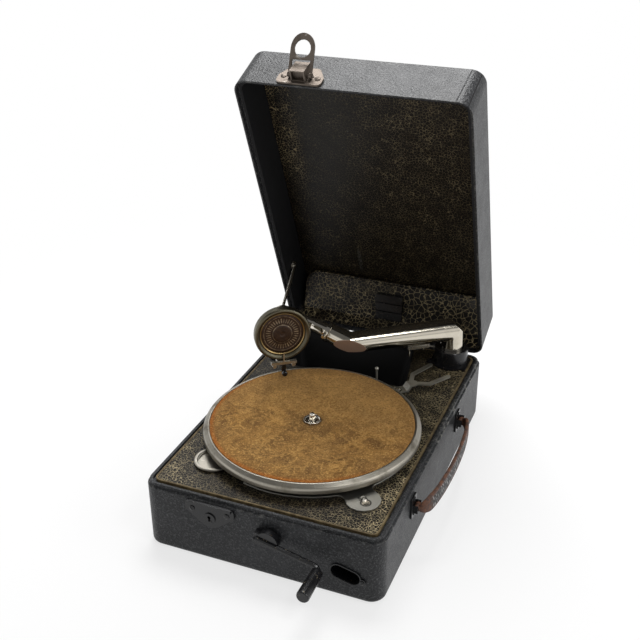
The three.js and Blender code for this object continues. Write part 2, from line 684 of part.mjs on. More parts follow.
function crankArm() {
  const { way, origin } = crankFrame();
  const start = origin.clone().addScaledVector(way, -crank.lug + crank.rod);
  const elbow = origin.clone().addScaledVector(way, crank.reach);
  const near = elbow.clone().addScaledVector(way, -crank.bend);
  const out = elbow.clone().addScaledVector(rearward, -crank.bend);
  const tip = elbow.clone().addScaledVector(rearward, crank.grip - crank.gripStart - crank.gripLength);
  const curve = new THREE.QuadraticBezierCurve3(near, elbow, out).getPoints(round.corner);
  return rod([start, ...curve, tip], crank.rod, way.clone().cross(rearward));
}

function crankGrip() {
  const { way, origin } = crankFrame();
  const { rod: wire, grip, gripGap, gripEdge, gripEnd, gripLength } = crank;
  const elbow = origin.clone().addScaledVector(way, crank.reach);
  const body = turned([
    [0, 0], [grip - clearance, 0], [grip, gripEdge],
    [gripEnd, gripLength - gripEdge * 2], [gripEnd - gripEdge, gripLength], [0, gripLength],
  ], round.small);
  const hole = drum(wire + gripGap, -overrun, gripLength - grip + gripGap, round.small);
  return onFront(cut(body, hole)).translate(elbow.x, elbow.y - crank.gripStart, elbow.z);
}

// Turntable
function platter() {
  const { bore, feltTop, feltThickness, sheet, shoulderDrop, skirtTop, skirtLow, hub, hubLow } = table;
  const seat = feltTop - feltThickness - clearance;
  const lip = feltRadius + clearance;
  const shoulder = feltTop - shoulderDrop / 2;
  return turned([
    [bore, hubLow], [hub, hubLow], [hub, seat - sheet], [lip, seat - sheet - shoulderDrop],
    [tableRim - sheet, skirtTop - sheet], [tableRim - sheet, skirtLow],
    [tableRim, skirtLow], [tableRim, skirtTop],
    [tableRim - sheet, skirtTop + sheet], [lip + sheet, shoulder], [lip, shoulder],
    [lip, seat], [bore, seat],
  ], round.fine).translate(0, tableY, 0);
}

function feltMat() {
  const { washer, feltTop, feltThickness } = table;
  const hole = circle(0, 0, washer + clearance * 2);
  return flat(circle(0, 0, feltRadius, round.fine), feltTop - feltThickness, feltTop, [hole])
    .translate(0, tableY, 0);
}

function spindlePin() {
  const { spindle, spindleTop, tip, tipRadius } = table;
  return turned([
    [0, frameTop], [spindle, frameTop], [spindle, spindleTop - tip],
    [tipRadius, spindleTop - tip / 4], [0, spindleTop],
  ], round.small).translate(0, tableY, 0);
}

function washerRing() {
  const { washer, washerRise, washerWall, spindle, feltTop, feltThickness } = table;
  const low = feltTop - feltThickness;
  const inner = spindle + clearance;
  return turned([
    [inner, low], [washer, low], [washer, low + washerRise + washerWall],
    [washer - washerWall, low + washerRise + washerWall],
    [washer - washerWall * 2, low + washerRise],
    [inner + washerWall, low + washerWall + clearance], [inner, low + washerRise],
  ], round.small).translate(0, tableY, 0);
}

// Tonearm
const corner = new THREE.Vector3(collarX, collarY, arm.axisZ);
const bend = new THREE.Vector3(collarX + arm.bendX, collarY + arm.bendY, arm.axisZ);
const alongArm = bend.clone().sub(corner).normalize();
const alongNeck = new THREE.Vector3(...arm.wayShares).normalize();
const neckPoint = (distance) => bend.clone().addScaledVector(alongNeck, distance);

function tonearmBase() {
  const low = deckTop + clearance;
  const shelf = low + collar.flangeRise;
  const ring = turned([
    [collar.bore, low], [collar.flange, low], [collar.flange, shelf], [collar.radius, shelf],
    [collar.radius, collar.top - collar.edge], [collar.radius - collar.edge, collar.top],
    [collar.bore, collar.top],
  ]);
  const out = collar.tail - collar.screw;
  const half = collar.tailWidth / 2;
  const lugs = collar.lugAngles.map((degrees) => join(
    slab(0, out, -half, half, low, shelf),
    drum(half, low, shelf, round.tiny).translate(out, 0, 0),
    slottedHead(collar.screw, 0).translate(out, 0, shelf),
  ).rotateZ(degrees * toRadians));
  const bore = drum(collar.bore, 0, box.length);
  const edge = deck.inset + deck.beadWidth + clearance;
  return cut(cut(join(ring, ...lugs), bore).translate(collarX, collarY, 0),
    slab(sideFace - edge, box.width, frontFace, box.length, 0, shelf),
    slab(0, box.width, backFace - edge, box.length, 0, shelf));
}

// Rings of a straight-sided tube whose bends are mitred.
function mitredRings(path, radii, segments) {
  const ways = path.slice(1).map((point, i) => point.clone().sub(path[i]).normalize());
  const second = ways[0].clone().cross(rearward).normalize();
  const first = second.clone().cross(ways[0]);
  let spokes = circle(0, 0, 1, segments).map(([a, b]) =>
    first.clone().multiplyScalar(a).addScaledVector(second, b));
  return path.map((point, i) => {
    const way = ways[Math.max(i - 1, 0)];
    const next = ways[Math.min(i, ways.length - 1)];
    const plane = way.clone().add(next);
    const ring = spokes.map((spoke) => {
      const out = spoke.clone().multiplyScalar(radii[i]);
      return out.addScaledVector(way, -out.dot(plane) / way.dot(plane));
    });
    spokes = ring.map((out) => out.clone().addScaledVector(next, -out.dot(next)).normalize());
    return ring.map((out) => out.add(point));
  });
}

// The tube's outside at inset zero; its bore at an inset of one wall, run on past both ends.
function tonearmBody(inset) {
  const past = inset * 2;
  const path = [corner.clone().setZ(arm.riserLow - past), corner, bend, neckPoint(arm.stubLength + past)];
  const radii = [arm.riser, arm.riser, arm.end, arm.stub].map((radius) => radius - inset);
  const away = upward.clone().sub(alongArm).normalize();
  const outer = alongArm.clone().sub(alongNeck).normalize();
  const tube = skin(mitredRings(path, radii, round.medium));
  const mitred = trimmed(tube, corner.clone().addScaledVector(away, arm.cornerFacet - inset), away);
  return trimmed(mitred, bend.clone().addScaledVector(outer, arm.facet - inset), outer);
}

const tonearmTube = () => cut(tonearmBody(0), tonearmBody(arm.wall));

function tripClamp() {
  const at = corner.clone().addScaledVector(alongArm, trip.along);
  const top = arm.axisZ - arm.riser - clearance;
  const angle = Math.atan2(alongArm.y, alongArm.x);
  const block = slab(-trip.length / 2, trip.pinAlong, -trip.width / 2, trip.width / 2, top - trip.drop, top);
  const pin = drum(trip.pin, top - trip.drop - trip.pinDrop, top, round.tiny)
    .translate(trip.pinAlong - trip.pin * 2, 0, 0);
  const knob = drum(trip.pin * 2, top - trip.drop - trip.pin * 2, top, round.tiny);
  return join(block, pin, knob).rotateZ(angle).translate(at.x, at.y, 0);
}

// Neck and sound box
const faceAngle = reproducer.azimuthAngle * toRadians;
const facing = new THREE.Vector3(Math.sin(faceAngle), -Math.cos(faceAngle), 0);
const centre = bend.clone().add(new THREE.Vector3(reproducer.x, reproducer.y, reproducer.rise));

// Stands a piece drawn about +Z, with +Y up, on the axis of the sound box.
const onBox = (geometry) => {
  const right = upward.clone().cross(facing);
  const basis = new THREE.Matrix4().makeBasis(right, upward, facing);
  return geometry.applyMatrix4(basis).translate(centre.x, centre.y, centre.z);
};

function swivelRing() {
  const start = arm.stubLength + clearance;
  const thick = neck.ringWidth / 2 - clearance;
  const ring = bar(neckPoint(start), neckPoint(start + neck.ringWidth), neck.ring);
  const middle = neckPoint(start + neck.ringWidth / 2);
  const side = alongNeck.clone().cross(across).normalize();
  const lift = side.clone().multiplyScalar(Math.sign(side.z));
  const top = middle.clone().addScaledVector(lift, neck.ring + neck.tabRise);
  const tab = bar(middle, top, thick, undefined, round.tiny);
  const ear = middle.clone().addScaledVector(lift, neck.ring + neck.tabRise / 2);
  const ears = bar(
    ear.clone().addScaledVector(rearward, neck.tabLength / 2),
    ear.clone().addScaledVector(rearward, -neck.tabLength / 2), thick, undefined, round.tiny,
  );
  return join(ring, tab, ears);
}

function gooseneck() {
  const { ringWidth, sleeve, sleeveEnd, sleeveLength, tube, kneeLength, elbowShare } = neck;
  const start = arm.stubLength + clearance * 2 + ringWidth;
  const shoulder = neckPoint(start + sleeveLength);
  const elbow = bend.clone().add(new THREE.Vector3(neck.elbowX, neck.elbowY, neck.elbowRise));
  const entry = centre.clone().addScaledVector(facing, -reproducer.bossBack - clearance);
  const turn = new THREE.CatmullRomCurve3([
    neckPoint(start + sleeveLength - tube / 2), elbow.clone().lerp(shoulder, elbowShare), elbow,
    entry.clone().addScaledVector(facing, -kneeLength),
    entry.clone().addScaledVector(facing, -tube / 2), entry,
  ], false, 'centripetal');
  const pipe = rod(turn.getPoints(round.small), tube, upward, round.small);
  return join(bar(neckPoint(start), shoulder, sleeve, sleeveEnd), pipe);
}

function boxShell() {
  const { boss, bossBack, shell, shellBack, shellEdge, back, ringInner, faceBack } = reproducer;
  const step = ringInner - clearance;
  return onBox(turned([
    [0, -bossBack], [boss, -bossBack], [boss, -shellBack],
    [shell - shellEdge, -shellBack], [shell, shellEdge - shellBack],
    [shell, -back - clearance], [step, -back - clearance],
    [step, -faceBack - clearance], [0, -faceBack - clearance],
  ]));
}

function boxRing() {
  const { radius, ringInner, front, back, edge, lipDrop } = reproducer;
  return onBox(turned([
    [ringInner, -back], [radius - edge, -back], [radius, -back + edge], [radius, front - edge],
    [radius - edge / 2, front - edge / 4], [radius - edge, front],
    [ringInner + edge, front - edge / 2], [ringInner, front - lipDrop],
  ], round.fine));
}

function brassRing() {
  const { ringInner, brass, brassFront, faceBack } = reproducer;
  const outer = ringInner - clearance;
  const slope = clearance * 2;
  return onBox(turned([
    [brass, -faceBack], [outer, -faceBack], [outer, brassFront],
    [outer - slope, brassFront + clearance], [brass, brassFront - slope],
  ], round.fine));
}

function boxFace() {
  const { face, faceFront, faceBack, dish, dimple, dimpleRise } = reproducer;
  return onBox(turned([
    [0, -faceBack], [face, -faceBack], [face, faceFront], [dish, faceFront],
    [dimple, faceFront + dimpleRise], [0, faceFront + dimpleRise],
  ]));
}

function stylusBar() {
  const { bar: half, top, out, cross, crossHeight, crossAt, crossDepth, screw, screwX, screwDrop } = stylus;
  const low = crossAt + crossHeight / 2;
  const upright = slab(-half, half, -low, -top, out - half, out + half);
  const bridge = slab(-cross, cross, -low, crossHeight / 2 - crossAt, out - crossDepth, out + half);
  const heads = [-1, 1].map((side) => drum(screw, out - crossDepth, out + half + clearance, round.tiny)
    .translate(side * screwX, -crossAt - screwDrop, 0));
  const foot = slab(-cross / 2, cross / 2, -low, -reproducer.radius - clearance,
    -reproducer.back, out - half);
  return onBox(join(upright, bridge, foot, ...heads));
}

const stylusDepth = stylus.out - stylus.crossDepth / 2;

function needleHolder() {
  const { holder, holderLow, crossAt, crossHeight, thumb, thumbAt, needle, needleTop } = stylus;
  const top = crossAt + crossHeight / 2 + clearance;
  const length = holderLow - top;
  const section = [[0, 0], [holder, 0], [holder, length - holder], [holder / 2, length], [0, length]];
  const stem = turned(section, round.small).rotateX(Math.PI / 2).translate(0, -top, stylusDepth);
  const hole = drum(thumb / 2, stylusDepth, stylusDepth + overrun, round.tiny).translate(0, -thumbAt, 0);
  const bore = bar(
    new THREE.Vector3(0, clearance - needleTop, stylusDepth),
    new THREE.Vector3(0, -holderLow - overrun, stylusDepth), needle + clearance, undefined, round.tiny,
  );
  return onBox(cut(stem, hole, bore));
}

function needlePin() {
  const { needle, needleTip, needleTop, needleTaper } = stylus;
  const at = (drop) => new THREE.Vector3(0, -drop, stylusDepth);
  const shoulder = needleTip - needleTaper;
  return onBox(join(
    bar(at(needleTop), at(shoulder), needle, undefined, round.tiny),
    bar(at(shoulder - clearance), at(needleTip), needle, needle / 4, round.tiny),
  ));
}

function needleScrew() {
  const { needle, thumb, thumbAt, thumbSide, thumbLength, thumbEnd, holder } = stylus;
  const thread = thumb / 2 - clearance;
  const seat = holder + clearance;
  const head = turned([
    [0, needle + clearance], [thread, needle + clearance], [thread, seat], [thumb, seat],
    [thumb, holder + thumbSide], [thumbEnd, holder + thumbLength], [0, holder + thumbLength],
  ], round.tiny);
  return onBox(head.translate(0, -thumbAt, stylusDepth));
}

// Brake and needle cup
function strip(points, width, low, high) {
  const parts = [];
  for (let i = 0; i < points.length - 1; i += 1) {
    const [a, b] = [new THREE.Vector2(...points[i]), new THREE.Vector2(...points[i + 1])];
    const way = b.clone().sub(a);
    const limb = slab(0, way.length(), -width / 2, width / 2, low, high).rotateZ(way.angle());
    parts.push(limb.translate(a.x, a.y, 0));
    parts.push(drum(width / 2, low, high, round.tiny).translate(b.x, b.y, 0));
  }
  return join(...parts);
}

function forkLever() {
  const { sheet, low, high, bar: wide, tine, rampShare, headShare } = fork;
  const eye = new THREE.Vector2(...besideTable(fork.eyeOut, fork.eyeAngle));
  const way = new THREE.Vector2(collarX, collarY).sub(eye);
  const span = way.length() - collar.flange;
  way.normalize();
  const place = ([ahead, left]) => [
    eye.x + span * (ahead * way.x - left * way.y), eye.y + span * (ahead * way.y + left * way.x),
  ];
  const step = new THREE.Vector2(...place(fork.stepShares));
  const fromNeck = new THREE.Vector2(...place(fork.neckShares));
  const rise = fromNeck.clone().sub(step);
  const half = (rise.length() * rampShare) / 2;
  const slope = [
    [-half, low], [sheet - half, low], [half, high], [half, high + sheet],
    [half - sheet, high + sheet], [-half, low + sheet],
  ];
  const middle = step.clone().addScaledVector(rise, rampShare / 2);
  const ramp = skin([-wide / 2, wide / 2].map((y) => slope.map(([x, z]) => new THREE.Vector3(x, y, z))))
    .rotateZ(rise.angle()).translate(middle.x, middle.y, 0);
  const foot = strip([eye.toArray(), step.toArray()], wide, low, low + sheet);
  const headStart = fromNeck.clone().addScaledVector(rise, -headShare);
  const head = strip([headStart.toArray(), fromNeck.toArray()], wide, high, high + sheet);
  const leftRoot = [fromNeck.x - tine / 2, fromNeck.y];
  const left = [leftRoot, place(fork.leftShares), place(fork.leftTipShares)];
  const right = [fromNeck.toArray(), place(fork.rightShares), place(fork.rightTipShares)];
  const tines = [left, right].map((points) => strip(points, tine, high, high + sheet));
  return join(foot, ramp, head, ...tines, forkPivot().translate(eye.x, eye.y, 0));
}

function forkPivot() {
  const { eye, sheet, low, rivet, rivetEnd, rivetRise } = fork;
  const top = low + sheet + rivetRise;
  const pin = turned([
    [0, deckTop + clearance], [rivet, deckTop + clearance], [rivet, top - rivetRise / 2],
    [rivetEnd, top], [0, top],
  ], round.small);
  return join(drum(eye, low, low + sheet, round.small), pin);
}

function brakePost() {
  const { width, sheet, low, pin, ball, top, eye, rivet } = post;
  const pivot = besideTable(post.pivotOut, post.pivotAngle);
  const wire = besideTable(post.wireOut, post.wireAngle);
  const lever = strip([pivot, wire], width, low, low + sheet);
  const hub = join(
    drum(eye, low, low + sheet, round.small),
    drum(rivet, deckTop + clearance, low + sheet * 2, round.tiny),
  ).translate(...pivot, 0);
  const rodUp = join(
    drum(pin, low, top - ball, round.tiny),
    new THREE.IcosahedronGeometry(ball, 1).translate(0, 0, top - ball),
  ).translate(...wire, 0);
  return join(lever, hub, rodUp);
}

function needleCup() {
  const { radius, low, high, rim, step, inner, depth, pivotX, pivotY, pinRise } = cup;
  const ledge = radius - rim;
  const body = turned([
    [0, low], [radius - rim / 2, low], [radius, low + rim / 2], [radius, high - step],
    [radius - step, high], [ledge, high], [ledge - step, high - step], [inner, high - step],
    [inner, high - depth], [0, high - depth],
  ]);
  const pin = drum(cup.pin, low, high - depth + pinRise, round.tiny).translate(pivotX, pivotY, 0);
  return join(body, pin).translate(cupX, cupY, 0);
}

// Handle
function handleBracket(y) {
  const { plateWidth, plateHeight, cheek, cheekHeight, pinOut, studRise } = handle;
  const base = flat(roundedOutline(plateWidth, plateHeight, cheek), clearance, handle.plate + clearance);
  const reach = handle.eyeLength / 2 + clearance;
  const high = pinOut + handle.pin + clearance;
  const cheeks = [-reach - cheek, reach].map((at) =>
    slab(at, at + cheek, -cheekHeight / 2, cheekHeight / 2, handle.plate, high));
  const end = reach + clearance;
  const pin = bar(new THREE.Vector3(-end, 0, pinOut), new THREE.Vector3(end, 0, pinOut), handle.pin,
    undefined, round.tiny);
  const studs = [-1, 1].map((side) =>
    drum(handle.stud, handle.plate, handle.plate + studRise, round.tiny).translate(0, side * handle.studAt, 0));
  return onSide(join(base, ...cheeks, pin, ...studs)).translate(sideFace, y, handle.z);
}

// Arch of the strap, steep where it leaves the brackets and flat in the middle.
function strapPath() {
  const { front, back, eye, bow, archShare } = handle;
  const out = sideFace + handle.pinOut + eye / 2;
  const steps = round.medium;
  return Array.from({ length: steps + 1 }, (_, i) => {
    const angle = (i / steps - 1 / 2) * Math.PI;
    const rise = Math.max(Math.cos(angle), 0) ** archShare;
    const y = (front + back) / 2 + ((back - front) / 2) * Math.sin(angle);
    return new THREE.Vector3(out + (bow - eye / 2) * rise, y, handle.z);
  });
}

function handleStrap() {
  const { front, back, height, thickness, edge, endWidth, eye, eyeLength } = handle;
  const thick = thickness / 2;
  const section = (t) => {
    const widen = Math.min(1, Math.sin(t * Math.PI) * 2);
    const half = endWidth / 2 + ((height - endWidth) / 2) * widen;
    return softened([[-half, -thick], [half, -thick], [half, thick], [-half, thick]], edge, round.edge);
  };
  const strap = swept(strapPath(), section, upward);
  const line = (y, radius, reach) => bar(
    new THREE.Vector3(sideFace + handle.pinOut, y - reach, handle.z),
    new THREE.Vector3(sideFace + handle.pinOut, y + reach, handle.z), radius, undefined, round.small,
  );
  const eyes = [front, back].map((y) => line(y, eye, eyeLength / 2));
  const bores = [front, back].map((y) => line(y, handle.pin + clearance, eyeLength));
  return cut(join(strap, ...eyes), ...bores);
}

// Lid, drawn shut; the group that holds it turns it open
const lidRings = (section) =>
  skin(section.map(([inset, z]) => ringAt(insideOutline(inset, box.corner - inset), z)));

function lidShell() {
  const quarter = lid.edge * (1 - Math.SQRT1_2);
  const step = rimZ + lid.rebate;
  const outer = [[0, rimZ], [0, lidTop - lid.edge], [quarter, lidTop - quarter], [lid.edge, lidTop]];
  const hollow = [
    [lid.skin, rimZ - lid.rebate], [lid.skin, step], [lid.wall, step + clearance],
    [lid.wall, lidTop - lid.top],
  ];
  return cut(lidRings(outer), lidRings(hollow));
}

const lidLining = () =>
  flat(insideOutline(lid.wall + lining.margin, lining.corner), liningTop - lining.thickness, liningTop);

// Place in the lid: along it from the hinge, and deep from its rim.
const lidY = (s) => backFace - s;
const lidZ = (h) => rimZ + h;

function deflectorSlope() {
  const low = new THREE.Vector3(0, lidY(deflector.foldS), lidZ(deflector.foldH));
  const high = new THREE.Vector3(0, lidY(deflector.rimS), lidZ(deflector.rimH));
  const up = high.clone().sub(low);
  const face = across.clone().cross(up).normalize();
  const basis = new THREE.Matrix4().makeBasis(across, up.clone().normalize(), face);
  return { low, length: up.length(), basis };
}

function soundDeflector() {
  const { low, length, basis } = deflectorSlope();
  const { sheet, corner: turnRadius, bead, foldBead, foldS, foldH, footS, footH } = deflector;
  const right = sideFace - lid.wall - deflector.rightGap - bead;
  const leftCorner = Array.from({ length: round.corner + 1 }, (_, i) => {
    const angle = ((1 + i / round.corner) * Math.PI) / 2;
    const [x, y] = [deflectorLeft + turnRadius, length - turnRadius];
    return [x + turnRadius * Math.cos(angle), y + turnRadius * Math.sin(angle)];
  });
  const edge = [[right, length], ...leftCorner, [deflectorLeft, 0]];
  const rolled = rod(edge.map(([x, y]) => new THREE.Vector3(x, y, sheet / 2)), bead, upward, round.tiny);
  const slope = join(flat([[right, 0], ...edge], 0, sheet), rolled);
  const face = slope.applyMatrix4(basis).translate(low.x, low.y, low.z);
  const foot = [
    [foldS + bead, foldH + bead], [foldS, foldH], [footS, footH],
    [footS - sheet + clearance, footH], [foldS - sheet, foldH + bead / 2],
  ];
  const sides = [deflectorLeft, right];
  const ends = sides.map((x) => foot.map(([s, h]) => new THREE.Vector3(x, lidY(s), lidZ(h))));
  const fold = rod(sides.map((x) => new THREE.Vector3(x, low.y, low.z)), foldBead, upward, round.tiny);
  const inset = lid.wall + clearance;
  const room = flat(insideOutline(inset, box.corner - inset), rimZ - lid.depth, lidTop);
  return kept(join(face, skin(ends), fold), room);
}

function deflectorBlock() {
  const { basis, low } = deflectorSlope();
  const { centre: x, width, foot, stepCount, step, thickness, rise, gap } = lidBlock;
  const seat = deflector.sheet + clearance;
  const top = seat + thickness;
  const block = (from, to, high) => slab(x - width / 2, x + width / 2, from, to, seat, high);
  const back = block(foot, foot + stepCount * step, top - rise / 2);
  const ledges = Array.from({ length: stepCount }, (_, k) =>
    block(foot + k * step + gap / 2, foot + (k + 1) * step - gap / 2, top + k * rise));
  return join(back, ...ledges).applyMatrix4(basis).translate(low.x, low.y, low.z);
}

// Hinge halves; knuckles alternate between the case and the lid.
function hingeHalf(x, onLid) {
  const { leafWidth, leafHeight, leaf, barrel: radius, pin, knuckleCount } = hinge;
  const length = leafWidth / knuckleCount;
  const { y, z } = lidPivot;
  const wall = backFace + clearance;
  const seamGap = clearance * 2;
  const low = onLid ? z + radius + seamGap : z - radius - leafHeight;
  const high = onLid ? z + radius + leafHeight : z - radius - seamGap;
  const line = (from, to, thick) => bar(
    new THREE.Vector3(from, y, z), new THREE.Vector3(to, y, z), thick, undefined, round.tiny,
  );
  const parts = [slab(x - leafWidth / 2, x + leafWidth / 2, wall, wall + leaf, low, high)];
  for (let k = 0; k < knuckleCount; k += 1) {
    if ((k % 2 === 1) !== onLid) continue;
    const from = x - leafWidth / 2 + k * length + clearance / 2;
    const to = from + length - clearance;
    const root = onLid ? [z, low + leaf] : [high - leaf, z];
    parts.push(line(from, to, radius), slab(from, to, wall, wall + leaf, ...root));
  }
  const whole = join(...parts);
  const reach = leafWidth / 2 + clearance;
  if (!onLid) return join(whole, line(x - reach, x + reach, pin));
  return cut(whole, line(x - leafWidth, x + leafWidth, pin + clearance));
}

function latchPlate() {
  const { x, halfWidth, low, shoulder, top, plate: thick, pivotH, pivotOff } = latch;
  const { boxWidth, boxLow, boxHigh, boxRise, boxFarRise, boxWall, boxMouth } = latch;
  const outline = softened([
    [x - halfWidth, lidZ(low)], [x + halfWidth, lidZ(low)], [x + halfWidth, lidZ(shoulder)],
    [x + boxWidth, lidZ(top)], [x - boxWidth, lidZ(top)], [x - halfWidth, lidZ(shoulder)],
  ], latch.corner);
  const body = flat(outline, clearance, thick + clearance);
  const heads = [-1, 1].map((side) => slottedHead(screwHead.radius, side)
    .translate(x + side * latch.screwX, lidZ(latch.screwH), thick + clearance));
  const reach = latch.haspHalf + clearance;
  const pin = bar(
    new THREE.Vector3(x - reach, lidZ(pivotH), pivotOff),
    new THREE.Vector3(x + reach, lidZ(pivotH), pivotOff), latch.pin, undefined, round.tiny,
  );
  const half = boxWidth / 2;
  const side = [
    [boxLow, thick], [boxLow, boxRise + thick], [boxHigh, boxFarRise + thick], [boxHigh, thick],
  ];
  const cover = skin([x - half, x + half].map((at) =>
    side.map(([h, off]) => new THREE.Vector3(at, lidZ(h), off))));
  const hollow = slab(x - half + boxWall, x + half - boxWall, lidZ(boxLow - boxWall),
    lidZ(boxLow + boxMouth), thick + boxWall, thick + boxRise - boxWall);
  return onFront(cut(join(body, ...heads, pin, cover), hollow)).translate(0, frontFace, 0);
}

function latchHasp() {
  const { haspHalf, legWidth, eye, neck: start, hole, crown, hasp: thick, pin } = latch;
  const holeAt = lidZ(latch.pivotH) - keeper.keyZ - latch.holeAboveKey;
  const arch = Array.from({ length: round.small + 1 }, (_, k) => {
    const angle = (k / round.small) * Math.PI;
    return [haspHalf * Math.cos(angle), holeAt + crown * Math.sin(angle)];
  });
  const inner = haspHalf - legWidth;
  const outline = [
    [haspHalf, 0], ...arch, [-haspHalf, 0], [-inner, 0], [-inner, start], [inner, start], [inner, 0],
  ];
  const blade = flat(outline, -thick / 2, thick / 2, [circle(0, holeAt, hole)]);
  const line = (from, to, radius) => bar(
    new THREE.Vector3(from, 0, 0), new THREE.Vector3(to, 0, 0), radius, undefined, round.tiny,
  );
  const eyes = [-1, 1].map((side) => line(side * inner, side * haspHalf, eye));
  return onFront(cut(join(blade, ...eyes), line(-overrun, overrun, pin + clearance)));
}

const haspPlace = new THREE.Vector3(latch.x, frontFace - latch.pivotOff, lidZ(latch.pivotH));

// Stay pivot in shut-lid place, and the turn that brings the foot of the stay to the deck.
const stayPlace = new THREE.Vector3(stayX, lidY(stay.lidS), lidZ(stay.lidH));

function stayTurn() {
  const openTurn = lid.openAngle * toRadians;
  const open = stayPlace.clone().sub(lidPivot).applyAxisAngle(across, -openTurn).add(lidPivot);
  const drop = Math.asin((open.z - stay.footZ) / stay.length);
  return Math.PI + drop + openTurn;
}

function stayPin() {
  const wall = -sideFace + lid.wall + clearance;
  const edge = stayX - stay.thickness / 2 - clearance;
  const line = (from, to, radius, segments) => bar(
    new THREE.Vector3(from, 0, 0), new THREE.Vector3(to, 0, 0), radius, undefined, segments,
  );
  const boss = line(wall, edge, stay.boss, round.small);
  const pin = line(edge - clearance, stayX + stay.thickness, stay.pin, round.tiny);
  return join(boss, pin).translate(0, stayPlace.y, stayPlace.z);
}

function stayArm() {
  const { eye, width, length, thickness, pin, footPin } = stay;
  const outline = softened([
    [-eye, -width / 2], [length + eye, -width / 2], [length + eye, width / 2], [-eye, width / 2],
  ], width / 2);
  const hole = circle(0, 0, pin + clearance, round.tiny);
  const strap = flat(outline, -thickness / 2, thickness / 2, [hole]);
  const foot = drum(pin, -thickness / 2, footPin, round.tiny).translate(length, 0, 0);
  return onSide(join(strap, foot));
}

// Assembly
const group = (name, ...children) => {
  const holder = new THREE.Group();
  holder.name = name;
  holder.add(...children);
  return holder;
};

function caseGroup() {
  return group('case_group',
    piece('case_shell', caseShell(), finish.leathercloth),
    piece('bottom_board', bottomBoard(), finish.board),
    piece('motor_board', motorBoard(), finish.crackle),
    piece('sound_chamber', soundChamber(), finish.black),
    piece('horn_throat', throat(), finish.black),
    piece('latch_keeper', keeperPlate(), finish.black),
    piece('crank_rose', crankRose(), finish.black),
    piece('crank_store', storeFerrule(), finish.black),
    piece('handle_bracket_front', handleBracket(handle.front), finish.black),
    piece('handle_bracket_back', handleBracket(handle.back), finish.black),
    piece('hinge_left_case', hingeHalf(-hinge.spacing / 2, false), finish.nickel),
    piece('hinge_right_case', hingeHalf(hinge.spacing / 2, false), finish.nickel),
    piece('tonearm_base', tonearmBase(), finish.black),
    piece('motor_plate', motorPlate(), finish.steel),
    piece('motor_frame', motorFrame(), finish.steel),
    piece('governor_post_front', governorPost(-1), finish.steel),
    piece('governor_post_back', governorPost(1), finish.steel));
}

function lidGroup() {
  const haspHolder = group('hasp_group', piece('latch_hasp', latchHasp(), finish.nickel));
  haspHolder.position.copy(haspPlace);
  haspHolder.rotation.x = latch.tiltAngle * toRadians;
  const stayHolder = group('stay_group', piece('lid_stay', stayArm(), finish.nickel));
  stayHolder.position.copy(stayPlace);
  stayHolder.rotation.x = stayTurn();
  const shut = group('lid_shut_group',
    piece('lid_shell', lidShell(), finish.leathercloth),
    piece('lid_lining', lidLining(), finish.crackle),
    piece('sound_deflector', soundDeflector(), finish.crackle),
    piece('deflector_block', deflectorBlock(), finish.black),
    piece('hinge_left_lid', hingeHalf(-hinge.spacing / 2, true), finish.nickel),
    piece('hinge_right_lid', hingeHalf(hinge.spacing / 2, true), finish.nickel),
    piece('latch_plate', latchPlate(), finish.nickel),
    piece('stay_pin', stayPin(), finish.nickel),
    haspHolder, stayHolder);
  shut.position.copy(lidPivot).negate();
  const turnedLid = group('lid_group', shut);
  turnedLid.position.copy(lidPivot);
  turnedLid.rotation.x = -lid.openAngle * toRadians;
  return turnedLid;
}

function motorGroup() {
  return group('motor_group',
    piece('spring_barrel', springBarrel(), finish.steel),
    piece('idler_wheel', idlerWheel(), finish.brass),
    piece('governor', governorSpinner(), finish.brass),
    piece('winding_wheel', windingWheel(), finish.steel),
    piece('crank_hub', crankHub(), finish.steel),
    piece('crank_arm', crankArm(), finish.nickel),
    piece('crank_grip', crankGrip(), finish.black));
}

function turntableGroup() {
  return group('turntable_group',
    piece('platter', platter(), finish.nickel),
    piece('felt_mat', feltMat(), finish.felt),
    piece('spindle', spindlePin(), finish.nickel),
    piece('spindle_washer', washerRing(), finish.nickel));
}

function tonearmGroup() {
  return group('tonearm_group',
    piece('tonearm_tube', tonearmTube(), finish.nickel),
    piece('trip_clamp', tripClamp(), finish.nickel),
    piece('swivel_ring', swivelRing(), finish.nickel),
    piece('gooseneck', gooseneck(), finish.nickel),
    piece('sound_box_shell', boxShell(), finish.nickel),
    piece('sound_box_ring', boxRing(), finish.nickel),
    piece('sound_box_bezel', brassRing(), finish.brass),
    piece('sound_box_face', boxFace(), finish.face),
    piece('stylus_bar', stylusBar(), finish.nickel),
    piece('needle_holder', needleHolder(), finish.black),
    piece('needle', needlePin(), finish.steel),
    piece('needle_screw', needleScrew(), finish.black));
}

function deckGroup() {
  return group('deck_group',
    piece('brake_fork', forkLever(), finish.steel),
    piece('brake_post', brakePost(), finish.steel),
    piece('needle_cup', needleCup(), finish.nickel),
    piece('handle_strap', handleStrap(), finish.leather));
}

const gramophone = group('portable_gramophone',
  caseGroup(), lidGroup(), motorGroup(), turntableGroup(), tonearmGroup(), deckGroup());

export default gramophone;
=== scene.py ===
import json
import math

import bmesh
import bpy
import numpy as np
from mathutils import Matrix, Vector


